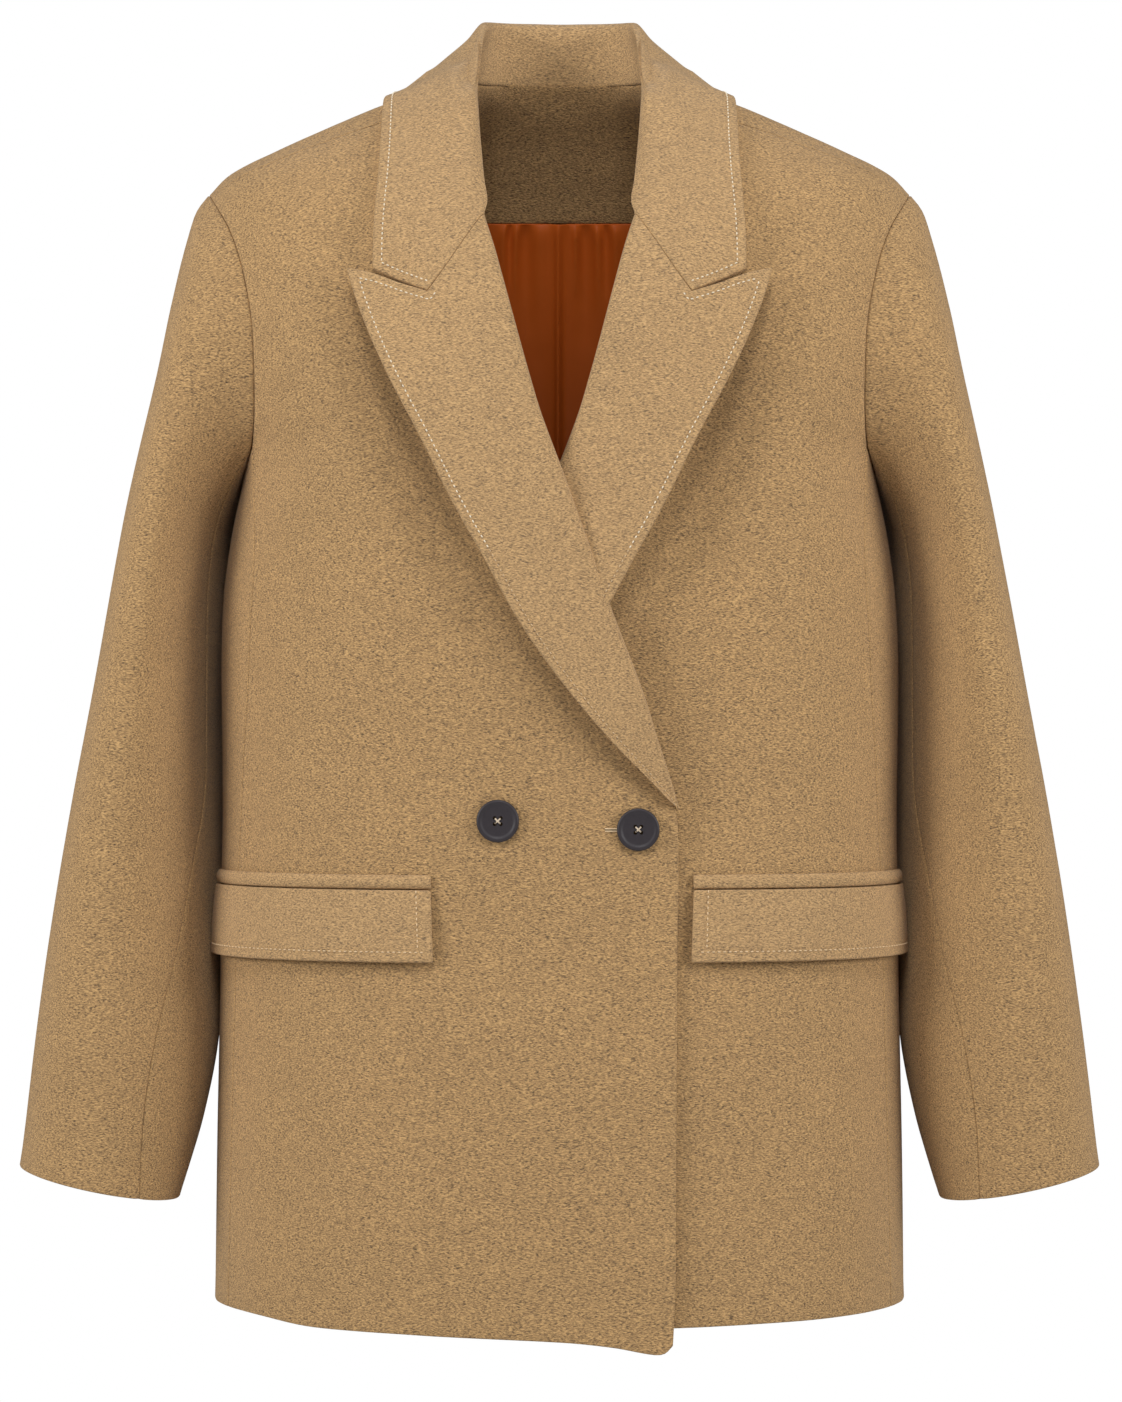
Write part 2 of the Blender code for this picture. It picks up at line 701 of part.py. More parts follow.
def side_panel(name, side, collection):
    turns = armhole_angles()[ARMHOLE_FRONT_STEPS + ARMHOLE_BACK_STEPS :]
    top = armhole_domain(turns)[::-1]
    left = side_seam("front", FRONT_SEAM_TOP)
    right = side_seam("back", BACK_SEAM_TOP)
    bottom = mix(left[-1], right[-1], fraction(ARMHOLE_SIDE_STEPS)[:, None])
    domain = patch(top, bottom, left, right)
    body_wall(name, domain, np.zeros(domain.shape[:2]), WOOL, "wool", collection, side,
              ("left", "right"))


def back(name, collection):
    """The whole back, over the shoulders to the seams in front of them."""
    shoulder = shoulder_seam()[::-1]
    neck = neck_edge(NECK_POINT, 180.0, BACK_NECK_COLUMNS // 2)
    first = ARMHOLE_FRONT_STEPS
    armhole = armhole_domain(armhole_angles()[first : first + ARMHOLE_BACK_STEPS + 1])
    left = np.concatenate([armhole, side_seam("back", BACK_SEAM_TOP)[1:]])
    half_top = np.concatenate([shoulder, neck[1:]])
    flip = np.array([-1.0, 1.0])
    turn = np.array([360.0, 0.0])
    top = np.concatenate([half_top, (turn + half_top * flip)[-2::-1]])
    bottom = mix(left[-1], turn + left[-1] * flip, fraction(len(top) - 1)[:, None])
    domain = patch(top, bottom, left, turn + left * flip, BACK_FADE)
    body_wall(name, domain, np.zeros(domain.shape[:2]), WOOL, "wool", collection,
              seams=("top", "left", "right"))


def front_points(domain_xz, side):
    """Points of one front's outer face, and the way out of it, from (out, height)."""
    angle = angle_at(domain_xz[..., 0], domain_xz[..., 1])
    base = body_point(angle, domain_xz[..., 1])
    out = outward(base)
    if side > 0:
        base = base - out * set_in(base[..., 0], base[..., 2])[..., None]
    return base, out


def lapel_grid(side):
    """The lapel's outer and inner faces, from its lip round the roll to its outer edge."""
    roll = traced(ROLL, LAPEL_STEPS)
    edge = traced(LAPEL_EDGE, LAPEL_STEPS)
    top = np.stack(
        [np.concatenate([GORGE[k], LAPEL_TOP[k]]) for k in ("out", "height")], axis=-1
    )
    bottom = mix(roll[-1], edge[-1], fraction(len(top) - 1)[:, None])
    domain = patch(top, bottom, roll, edge)
    base, out = front_points(domain, side)
    along = fraction(LAPEL_STEPS)[:, None]
    across = fraction(len(top) - 1)[None, :]
    full = mix(1.0, LAPEL_TAPER, eased(LAPEL_TAPERS_FROM, 1.0, along))
    belly = LAPEL_BELLY * np.sin(np.pi * across) * (1 - eased(*LAPEL_BELLY_FADES, along))
    lift = (LAPEL_LIFT - LAPEL_EDGE_DROP * across + belly) * full
    outer = base + out * (lift + TURNED * full)[..., None]
    inner = base + out * lift[..., None]
    past = unit(base[:, 0] - base[:, 1])
    lips = [[], []]
    for k in range(len(LIP["outer_past"])):
        for sheet, which in zip(lips, ("outer", "inner")):
            shift = past * LIP[which + "_past"][k]
            lift_here = LIP[which + "_lift"][k] * (full if LIP[which + "_lift"][k] > 0 else 1.0)
            sheet.append(base[:, 0] + shift + out[:, 0] * lift_here)
    outer = np.concatenate([np.stack(lips[0], axis=1), outer], axis=1)
    inner = np.concatenate([np.stack(lips[1], axis=1), inner], axis=1)
    return outer, inner


def lapel(name, side, collection):
    outer, inner = lapel_grid(side)
    wall(name, mirrored(outer, side), mirrored(inner, side), "wool", collection, ("top",))


def collar_half():
    """Rows of the collar's face from the centre back to the gorge, columns from the neck seam
    up the stand, over the fold and down to the outer edge."""
    station = fraction(COLLAR_STEPS)

    def column(name):
        return read(COLLAR, name, station, key="station")

    fold = np.stack([column("fold_x"), column("fold_y"), column("fold_z")], axis=-1)
    lying = station > FOLD_LIES_FROM
    fold[lying] = kept_off(fold[lying], TURNED + COLLAR_CLEAR)
    rough_edge = np.stack([column("edge_x"), column("edge_y"), column("edge_z")], axis=-1)
    edge = seated(rough_edge, np.full(len(station), TURNED + COLLAR_CLEAR))
    seam = panels_neck_points(column("neck_angle"))
    out = outward(seam)
    past = unit(np.cross(np.gradient(seam, axis=0), out))
    if np.sum(past * (fold - seam)) < 0:
        past = -past
    neck = seam + past * (LIP["outer_past"][0] + STAND_CLEAR) + out * LIP["outer_lift"][0]
    neck_under = seam + past * (LIP["inner_past"][0] + STAND_CLEAR) + out * LIP["inner_lift"][0]
    rise = unit(fold - neck)
    level = edge - fold
    level = unit(level - rise * np.sum(level * rise, axis=-1, keepdims=True))
    stand_top = fold - (rise + level) * FOLD_RADIUS
    fall_top = fold - (rise - level) * FOLD_RADIUS
    columns = [neck, mix(neck, stand_top, STAND_ROW), stand_top, fold]
    lapel_end = [sheet[0, : len(LIP["outer_past"]) + len(GORGE["out"])] for sheet in lapel_grid(1.0)]
    foot_xz = np.stack([COLLAR_FOOT["out"], COLLAR_FOOT["height"]], axis=-1)
    foot_base, foot_out = front_points(foot_xz, -1.0)
    ends = [
        np.concatenate([row, foot_base + foot_out * lift])
        for row, lift in zip(lapel_end, (TURNED + COLLAR_CLEAR, COLLAR_CLEAR))
    ]
    end = ends[0][len(LIP["outer_past"]) + 1 :]
    start = mix(fall_top[0], edge[0], FALL_ROWS[:, None])
    for k, v in enumerate(FALL_ROWS):
        straight = mix(fall_top, edge, v)
        at_start = start[k] - straight[0]
        at_end = end[k] - straight[-1]
        pull = station[:, None] ** 3
        fall = straight + at_start * (1 - pull) + at_end * pull
        swell = column("bulge") * math.sin(math.pi * v)
        fall = fall + outward(fall) * swell[:, None]
        columns.append(kept_off_panels(fall, TURNED + COLLAR_CLEAR))
    grid = np.stack(columns, axis=1)
    grid[-1] = ends[0]
    return grid, neck_under, ends[1]


def collar(name, collection):
    """The whole collar: its seen face, and under it the other one, which meets the neck edge
    and the lapels with the form they have."""
    half, neck_under, end_under = collar_half()
    grid = np.concatenate([mirrored(half, -1.0)[:0:-1], half])
    normals = grid_normals(grid)
    middle = len(grid) // 2
    if normals[middle, -2, 1] < 0:
        normals = -normals
    inner = grid - normals * TURNED
    fold = len(LIP["outer_past"])
    lying = np.abs(np.linspace(-1.0, 1.0, len(grid))) > FOLD_LIES_FROM
    inner[lying, fold] = kept_off(inner[lying, fold], COLLAR_CLEAR)
    inner[:, fold + 1 :] = kept_off_panels(inner[:, fold + 1 :], COLLAR_CLEAR)
    inner[:, 0] = np.concatenate([mirrored(neck_under, -1.0)[:0:-1], neck_under])
    inner[-1] = end_under
    inner[0] = mirrored(end_under, -1.0)
    wall(name, grid, inner, "wool", collection, ("top", "bottom"), COLLAR_SEAM)


def neck_facing(name, collection):
    """The wool facing inside the back neck, sewn in at the panels' neck edge, down to the
    lining. Its columns start at the back's own neck points and half-way between them."""
    down = fraction(FACING_ROWS)[:, None]
    heights = mix(FACING_TOP, FACING_FOOT, down)
    end = angle_at(mix(FACING_TOP_OUT, FACING_FOOT_OUT, down), heights, True)
    column = 2 * (180.0 - NECK_POINT) / BACK_NECK_COLUMNS
    end[0] = NECK_POINT + FACING_SKIPS * column
    columns = 2 * (BACK_NECK_COLUMNS - 2 * FACING_SKIPS)
    angles = mix(end, 360 - end, fraction(columns)[None])
    near = np.where(angles > 180, 360 - angles, angles)
    top = read(NECK, "height", near, key="angle")
    base = body_point(angles, mix(top, FACING_FOOT, down))
    base[0] = panels_neck_points(near[0])
    base[0, angles[0] > 180, 0] *= -1
    out = outward(base)
    lift = mix(-(WOOL + SEAM), FACING_LIFT, eased(0.0, FACING_SINKS_BY, down))
    outer = base + out * lift[..., None]
    wall(name, outer, outer - out * FACING_CLOTH, "wool", collection, ("bottom",))


def lining(name, collection):
    """The back lining, with its centre pleat."""
    down = fraction(LINING_ROWS) ** LINING_ROW_SPREAD
    heights = mix(LINING["height"][0], LINING["height"][-1], down)
    end = angle_at(read(LINING, "out", heights), heights, True)[:, None]
    near = mix(180.0, end, fraction(LINING_HALF_COLUMNS)[None] ** LINING_COLUMN_SPREAD)
    angles = np.concatenate([near[:, ::-1], (360 - near)[:, 1:]], axis=1)
    domain = np.stack([angles, np.broadcast_to(heights[:, None], angles.shape)], axis=-1)
    lift = LINING_LIFT - PLEAT_DEPTH * np.exp(-(((angles - 180) / PLEAT_WIDTH) ** 2))
    body_wall(name, domain, lift, SATIN, "lining", collection, seams=("top",))


def sleeve_rings():
    """Outer points of all rings, and the ways in through the cloth."""
    turns = armhole_angles()
    count = len(turns)
    split = ARMHOLE_FRONT_STEPS + UPPER_SLEEVE_BACK_COLUMNS
    upper_share = (turns[0] - turns[: split + 1]) / (turns[0] - turns[split])
    under_share = (turns[split] - turns[split:]) / (turns[split] - turns[-1])
    armhole = armhole_domain(turns)
    hole = body_point(armhole[:, 0], armhole[:, 1])
    rings = []
    for k in range(len(SLEEVE["depth"])):
        row = {name: values[k] for name, values in SLEEVE.items()}
        angles = turns
        if k:
            upper = mix(row["front_seam"], row["back_seam"], upper_share)
            under = mix(row["back_seam"], row["front_seam"] - 360, under_share)
            angles = np.concatenate([upper, under[1:]])
        first = {name: values[0] for name, values in SLEEVE.items()}
        rest = hole - ring_points(first, turns)
        rings.append(ring_points(row, angles) + rest * row["armhole_share"])
    rings = np.array(rings)
    rings[0] += np.array([ARMHOLE_GAP, 0.0, 0.0])
    closed = np.concatenate([rings[:, -2:-1], rings, rings[:, 1:2]], axis=1)
    normals = grid_normals(closed)[:, 1:-1]
    centre = rings[6, : count - 1].mean(axis=0)
    if np.sum(normals[6, 0] * (rings[6, 0] - centre)) < 0:
        normals = -normals
    inward = -normals
    own = np.clip(-np.cos(np.radians(turns)), 0.0, 1.0)[:, None]
    inward[0] = unit(mix(-outward(hole), inward[0], own))
    return rings, inward, split


def ring_points(row, angles):
    """An ellipse between the sleeve's outer and inner lines."""
    outer = np.array([row["outer_x"], -row["forward"], row["outer_z"]])
    inner = np.array([row["inner_x"], -row["forward"], row["inner_z"]])
    turn = np.radians(angles)[:, None]
    forward = np.array([row["twist"], -row["depth"], 0.0])
    return (outer + inner) / 2 + np.cos(turn) * (outer - inner) / 2 + np.sin(turn) * forward


def sleeve(side, suffix, collection):
    rings, inward, split = sleeve_rings()
    inner = rings + inward * WOOL
    for name, columns in (("upper_sleeve", np.s_[:, : split + 1]), ("under_sleeve", np.s_[:, split:])):
        wall(name + suffix, mirrored(rings[columns], side), mirrored(inner[columns], side), "wool",
             collection, ("left", "right"), SLEEVE_SEAM)


def pocket_angles(columns, height, side):
    """Angles of a pocket's columns: evenly spaced along the body from its inner end."""
    start = float(angle_at(POCKET_INNER_ENDS[side], height))
    fine = mix(start, POCKET_OUTER_ANGLE, fraction(80))
    points = body_point(fine, height)
    run = np.concatenate([[0.0], np.cumsum(np.linalg.norm(np.diff(points, axis=0), axis=1))])
    return np.interp(run[-1] * fraction(columns), run, fine)


def strip(name, columns, inner_lift, side, collection, flare=0.0):
    """A strip across the pocket, with a lift for each of its heights."""
    heights = columns["height"]
    angles = pocket_angles(POCKET_COLUMNS, heights[0], side)
    share = fraction(POCKET_COLUMNS)
    down = (heights[0] - heights) / (heights[0] - heights[-1])
    domain = np.stack(np.meshgrid(angles, heights), axis=-1)
    base = body_point(domain[..., 0], domain[..., 1])
    out = outward(base)
    along = unit(np.gradient(base, axis=1))
    base = base + along * (flare * down[:, None] * (2 * share - 1)[None])[..., None]
    if side > 0:
        base = base - out * set_in(base[..., 0], base[..., 2])[..., None]
    outer = base + out * columns["outer_lift"][:, None, None]
    inner = base + out * inner_lift[:, None, None]
    wall(name, mirrored(outer, side), mirrored(inner, side), "wool", collection)


def button(name, place, collection, cutters):
    """A turned button with four thread holes, seated on the lapping front."""
    mesh = bpy.data.meshes.new(name)
    profile = [(r, 0.0, h) for r, h in zip(BUTTON_PROFILE["radius"], BUTTON_PROFILE["height"])]
    mesh.from_pydata(profile, [(i, i + 1) for i in range(len(profile) - 1)], [])
    made = add_object(name, mesh, "button", collection)
    turned = made.modifiers.new("turned", "SCREW")
    turned.steps = turned.render_steps = BUTTON_SIDES
    turned.use_merge_vertices = True
    turned.merge_threshold = 1e-5
    turned.use_normal_calculate = True
    height = np.array(place[1])
    seat = body_point(angle_at(np.array(place[0]), height), height)
    out = outward(seat)
    turn = Vector(out).to_track_quat("Z", "Y").to_matrix().to_4x4()
    made.matrix_world = Matrix.Translation(Vector(seat + out * BUTTON_SEAT)) @ turn
    for k in range(THREAD_HOLES):
        around = 2 * math.pi * (k + 0.5) / THREAD_HOLES
        at = Vector((THREAD_HOLE_OUT * math.cos(around), THREAD_HOLE_OUT * math.sin(around), 0))
        bpy.ops.mesh.primitive_cylinder_add(
            vertices=8,
            radius=THREAD_HOLE,
            depth=DRILL_LENGTH,
            location=made.matrix_world @ at,
            rotation=turn.to_euler(),
        )
        drill = bpy.context.object
        drill.name = f"{name}_drill_{k}"
        drill.hide_render = True
        drill.display_type = "WIRE"
        for owner in list(drill.users_collection):
            owner.objects.unlink(drill)
        cutters.objects.link(drill)
        cut = made.modifiers.new(f"hole_{k}", "BOOLEAN")
        cut.operation = "DIFFERENCE"
        cut.solver = "EXACT"
        cut.object = drill


def new_collection(name):
    made = bpy.data.collections.new(name)
    bpy.context.scene.collection.children.link(made)
    return made


def build():
    for old in list(bpy.data.objects):
        bpy.data.objects.remove(old)
    coat = new_collection("double_breasted_coat")
    cutters = new_collection("cutters")
    for side, suffix in ((-1.0, "_right"), (1.0, "_left")):
        front("front" + suffix, side, coat)
        side_panel("side_panel" + suffix, side, coat)
        lapel("lapel" + suffix, side, coat)
        sleeve(side, suffix, coat)
        strip("pocket_jet" + suffix, JET, JET["inner_lift"], side, coat)
        strip("pocket_flap" + suffix, FLAP, FLAP["outer_lift"] - FLAP_CLOTH, side, coat,
              FLAP_END_FLARE)
    back("back", coat)
    collar("collar", coat)
    neck_facing("back_neck_facing", coat)
    lining("lining", coat)
    for name, place in BUTTON_PLACES.items():
        button(name, place, coat, cutters)


build()
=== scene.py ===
"""The looks of a double-breasted wool coat, filled out as worn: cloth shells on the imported
solids, stitching, buttons, materials, camera and light. Metres, +Z up, the coat faces -Y."""

import math

import bmesh
import bpy
import numpy as np
from mathutils import Matrix, Vector


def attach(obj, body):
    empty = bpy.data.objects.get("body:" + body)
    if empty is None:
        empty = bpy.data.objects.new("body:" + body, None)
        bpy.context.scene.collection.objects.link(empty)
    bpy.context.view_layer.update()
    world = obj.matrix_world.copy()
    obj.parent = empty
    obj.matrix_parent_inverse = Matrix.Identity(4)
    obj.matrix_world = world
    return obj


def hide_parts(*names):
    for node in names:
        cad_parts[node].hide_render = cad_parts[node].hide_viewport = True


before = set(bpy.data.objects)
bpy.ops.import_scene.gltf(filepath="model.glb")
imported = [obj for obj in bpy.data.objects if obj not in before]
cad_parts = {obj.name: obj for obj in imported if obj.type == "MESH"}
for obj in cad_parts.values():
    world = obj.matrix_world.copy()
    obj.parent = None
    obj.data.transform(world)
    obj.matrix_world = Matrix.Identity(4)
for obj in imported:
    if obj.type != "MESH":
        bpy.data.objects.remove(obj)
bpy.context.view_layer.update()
bpy.ops.object.select_all(action="DESELECT")


def table(names, *rows):
    """A table's columns by name, from its rows."""
    return dict(zip(names.split(), np.array(rows, dtype=float).T))


# Cloth and seams
WOOL = 0.0025
TURNED = 0.0036  # lapel and collar: cloth and facing pressed together
FLAP_CLOTH = 0.0028
FACING_CLOTH = 0.002
SATIN = 0.001
SEAM = -0.0002  # the rims just meet, and their rounding leaves the seam's ditch
ARMHOLE_GAP = 0.0003

# The body's level sections
SECTION_POWER = 2.5
HEM = -0.817  # at the sides and the back
SLOPE_STEP = 1e-5
SEATING_ROUNDS = 6
BODY = table(
    "height half_width front_depth back_depth",
    (0.024, 0.0625, 0.02, 0.0655), (0.0208, 0.07, 0.0225, 0.0665), (0.008, 0.1, 0.031, 0.0745),
    (0, 0.119, 0.0365, 0.079), (-0.015, 0.155, 0.0465, 0.087), (-0.0323, 0.192, 0.058, 0.094),
    (-0.0468, 0.2215, 0.069, 0.0995), (-0.056, 0.234, 0.0755, 0.1025),
    (-0.0633, 0.2405, 0.0805, 0.1045), (-0.076, 0.2445, 0.0885, 0.108), (-0.1, 0.246, 0.101, 0.1125),
    (-0.14, 0.244, 0.1125, 0.119), (-0.18, 0.238, 0.1195, 0.123), (-0.22, 0.227, 0.1235, 0.1245),
    (-0.24, 0.2195, 0.125, 0.1245), (-0.256, 0.2158, 0.1258, 0.124), (-0.28, 0.2208, 0.1262, 0.123),
    (-0.312, 0.2267, 0.1262, 0.1213), (-0.345, 0.23, 0.1255, 0.1195), (-0.385, 0.2315, 0.124, 0.1175),
    (-0.43, 0.2314, 0.1222, 0.1158), (-0.48, 0.2306, 0.121, 0.1155), (-0.53, 0.2316, 0.121, 0.1175),
    (-0.6, 0.2323, 0.123, 0.121), (-0.7, 0.234, 0.126, 0.125), (-0.821, 0.236, 0.128, 0.128),
    (-0.845, 0.2363, 0.1282, 0.1282),
)

# The armhole's distance from the middle, on the front and on the back
ARMHOLE = table(
    "height front back",
    (-0.0633, 0.2405, 0.2405), (-0.082, 0.2285, 0.231), (-0.101, 0.2185, 0.2225),
    (-0.138, 0.2085, 0.213), (-0.168, 0.2045, 0.2085), (-0.2, 0.2037, 0.207), (-0.222, 0.2044, 0.2075),
    (-0.236, 0.2057, 0.2085), (-0.248, 0.21, 0.2115), (-0.256, 0.2158, 0.2158),
)
ARMHOLE_TOP = -0.0633
ARMHOLE_BOTTOM = -0.2560
ARMHOLE_MIDDLE = (ARMHOLE_TOP + ARMHOLE_BOTTOM) / 2
ARMHOLE_REACH = (ARMHOLE_TOP - ARMHOLE_BOTTOM) / 2
SHOULDER_SEAM_END = -0.0675  # heights where seams meet the armhole
FRONT_SEAM_TOP = -0.2400
BACK_SEAM_TOP = -0.2360

# The side panel's two seams, as shares of the half-width
SIDE_SEAMS = table(
    "height front back",
    (-0.236, 0.938, 0.9426), (-0.24, 0.942, 0.94), (-0.28, 0.926, 0.91), (-0.33, 0.894, 0.88),
    (-0.38, 0.8955, 0.872), (-0.43, 0.909, 0.87), (-0.47, 0.923, 0.872), (-0.53, 0.932, 0.88),
    (-0.6, 0.9375, 0.886), (-0.845, 0.945, 0.9),
)
SEAM_JOINS_BY = 5  # the seam's top is drawn to the armhole's corner over a fifth of its length

SHOULDER = table(
    "out height",
    (0.0705, 0.008), (0.12, -0.018), (0.146, -0.0265), (0.176, -0.038), (0.2065, -0.0505),
    (0.2212, -0.0575), (0.2375, -0.0675),
)

# The neck edge round the body, from the end of the lapel's roll to the centre back
NECK = table(
    "angle height",
    (28.3, -0.0925), (31.6, -0.08), (41.7, -0.048), (55.8, -0.018), (71, 0.008), (80, 0.016),
    (90, 0.0208), (120, 0.0222), (150, 0.0228), (180, 0.0226),
)
NECK_POINT = 71.0  # the angle where the shoulder seam meets the neck edge
GORGE_POINT = 28.3  # the angle where the collar's fold becomes the lapel's roll

# The roll of the lapel and its other edges, seen from the front
ROLL = table(
    "out height",
    (0.0516, -0.0925), (0.0457, -0.1114), (0.0357, -0.149), (0.0253, -0.188), (0.0141, -0.2265),
    (0.0017, -0.2597), (-0.0101, -0.293), (-0.0221, -0.3263), (-0.0325, -0.3571), (-0.0434, -0.3845),
    (-0.0545, -0.4146), (-0.0657, -0.4512), (-0.076, -0.479),
)
LAPEL_EDGE = table(
    "out height",
    (0.139, -0.1262), (0.1305, -0.152), (0.1119, -0.194), (0.0885, -0.239), (0.0677, -0.282),
    (0.0478, -0.318), (0.0265, -0.3571), (0.0042, -0.3897), (-0.0127, -0.4113), (-0.0291, -0.4309),
    (-0.0461, -0.4492), (-0.0611, -0.4642), (-0.0722, -0.476),
)
GORGE = table(
    "out height",
    (0.0516, -0.0925), (0.063, -0.109), (0.0745, -0.1268), (0.0858, -0.143),
)
LAPEL_TOP = table(
    "out height",
    (0.104, -0.1372), (0.1225, -0.1302), (0.139, -0.1262),
)
COLLAR_FOOT = table(
    "out height",
    (0.104, -0.1352), (0.1225, -0.1265),
)
FRONT_EDGE = table(
    "out height",
    (-0.076, -0.479), (-0.0784, -0.495), (-0.0776, -0.54), (-0.0768, -0.65), (-0.0762, -0.75),
    (-0.0757, -0.8165), (-0.0742, -0.831),
)
UNDER_EDGE_RISE = 0.0145  # the under front's corner is higher, and its edge draws up from here
UNDER_EDGE_RISE_FROM = -0.5500

# The fronts' hems, by distance from the middle
FRONT_HEM = table(
    "out over under",
    (-0.066, -0.8366, -0.8205), (-0.047, -0.8335, -0.8205), (-0.024, -0.8302, -0.8205),
    (0, -0.8281, -0.8205), (0.09, -0.8245, -0.82), (0.12, -0.8234, -0.819), (0.155, -0.8226, -0.8182),
    (0.173, -0.8214, -0.8177), (0.19, -0.8192, -0.8173), (0.2115, -0.8172, -0.817),
    (0.23, -0.817, -0.817),
)
FRONT_HEM_SPREAD = 0.9

# How far the under front is set in behind the lapping one, and where across it fades
SET_IN = table(
    "height depth",
    (-0.15, 0), (-0.245, 0.009), (-0.48, 0.009), (-0.53, 0.0048), (-0.845, 0.0048),
)
SET_IN_FADES = (0.092, 0.185)

# The turned lip of cloth round a fold: distance past the fold and height over the body
LIP = table(
    "outer_past outer_lift inner_past inner_lift",
    (0.0036, -0.0022, 0.0009, -0.0026), (0.004, 0.0012, 0.0009, -0.0002),
    (0.0026, 0.004, 0.0006, 0.001),
)
LAPEL_LIFT = 0.0015
LAPEL_BELLY = 0.0016
LAPEL_BELLY_FADES = (0.15, 0.4)  # shares of the way down
LAPEL_TAPER = 0.45  # how thin the lapel is at the break
LAPEL_TAPERS_FROM = 0.8
LAPEL_STANDS_OFF = 0.0100  # how far its outer edge stands off the front, less at its top
STANDS_OFF_AT_TOP = 0.3
STANDS_OFF_FROM = 0.25
COVERED_BY_THE_RIGHT = (-0.385, -0.335)  # where the left lapel lies flat, and where it is free

# The collar from the centre back to the gorge: its fold and its outer edge
COLLAR = table(
    "station neck_angle fold_x fold_y fold_z edge_x edge_y edge_z bulge",
    (0, 180, 0, 0.0705, 0.0687, 0, 0.084, 0.002, 0.003),
    (0.1, 158, 0.027, 0.0695, 0.069, 0.034, 0.082, 0.001, 0.003),
    (0.2, 136, 0.0445, 0.063, 0.0685, 0.063, 0.073, 0, 0.005),
    (0.3, 116, 0.053, 0.049, 0.066, 0.089, 0.054, -0.001, 0.006),
    (0.4, 98, 0.0565, 0.03, 0.055, 0.1085, 0.026, 0.001, 0.006),
    (0.5, 83, 0.0573, 0.01, 0.038, 0.1165, 0.002, 0.004, 0.004),
    (0.6, 70, 0.0576, -0.013, 0.018, 0.119, -0.026, -0.01, 0.003),
    (0.7, 56, 0.0574, -0.037, -0.005, 0.12, -0.047, -0.034, 0.003),
    (0.8, 43, 0.0568, -0.062, -0.036, 0.1203, -0.063, -0.062, 0.002),
    (0.9, 32.6, 0.0562, -0.086, -0.068, 0.1213, -0.077, -0.094, 0.001),
    (1, 28.3, 0.0532, -0.1, -0.0925, 0.1225, -0.09, -0.1265, 0),
)
FOLD_RADIUS = 0.0055
STAND_ROW = 0.55  # share of the stand's height with a row of points
FALL_ROWS = np.array([0.06, 0.3, 0.55, 0.78, 1.0])  # shares of the fall's depth
COLLAR_PULL = 3  # how late along the collar its fall takes the gorge's form
COLLAR_CLEAR = 0.0012
STAND_CLEAR = -0.0006
FOLD_LIES_FROM = 0.64  # the station from which the fold lies on the fronts

# The sleeve's rings, from the armhole to the cuff: its outer and inner lines seen from the front,
# half its depth, how far forward it hangs, the angles of its two seams, and how much of the
# armhole's own shape is left
SLEEVE = table(
    "outer_x outer_z inner_x inner_z depth forward twist front_seam back_seam armhole_share",
    (0.2405, -0.0633, 0.2158, -0.256, 0.0745, 0, 0, 0, 0, 1),
    (0.2478, -0.0735, 0.2183, -0.265, 0.0765, 0, 0.003, 150, -113, 0.65),
    (0.253, -0.093, 0.2222, -0.275, 0.079, 0, 0.006, 154, -112, 0.35),
    (0.2598, -0.127, 0.2272, -0.29, 0.0805, 0.001, 0.009, 158, -111, 0.12),
    (0.2686, -0.178, 0.232, -0.313, 0.081, 0.002, 0.012, 162, -110, 0),
    (0.2775, -0.222, 0.2356, -0.342, 0.0805, 0.004, 0.014, 166, -109, 0),
    (0.2865, -0.265, 0.2376, -0.378, 0.079, 0.006, 0.015, 170, -108, 0),
    (0.2968, -0.32, 0.2388, -0.42, 0.077, 0.009, 0.016, 173, -107, 0),
    (0.309, -0.391, 0.2388, -0.475, 0.074, 0.013, 0.0185, 172, -106, 0),
    (0.3217, -0.462, 0.2383, -0.532, 0.07, 0.017, 0.0205, 158, -105, 0),
    (0.334, -0.532, 0.237, -0.588, 0.065, 0.021, 0.021, 145, -104, 0),
    (0.346, -0.6, 0.2366, -0.64, 0.06, 0.025, 0.018, 131, -103, 0),
    (0.3568, -0.664, 0.2445, -0.694, 0.0545, 0.028, 0.011, 125, -102, 0),
    (0.3655, -0.724, 0.2588, -0.7475, 0.05, 0.03, 0.004, 130, -101, 0),
)
UPPER_SLEEVE_BACK_COLUMNS = 9
SURE_RING = 6  # a ring whose way out is plain

# Pockets: heights, and the distance of their inner ends from the middle
POCKET_INNER_ENDS = {-1.0: 0.0838, 1.0: 0.0881}
POCKET_OUTER_ANGLE = 84.0
JET = table(
    "height outer_lift inner_lift",
    (-0.524, 0.0018, 0.0008), (-0.5268, 0.0036, 0.0008), (-0.5305, 0.0038, 0.0008),
    (-0.5332, 0.0026, 0.0008),
)
FLAP = table(
    "height outer_lift",
    (-0.5338, 0.0042), (-0.548, 0.0056), (-0.565, 0.0064), (-0.5812, 0.0066),
)
FLAP_END_FLARE = 0.0028  # how much the flap's lower edge widens towards its foot

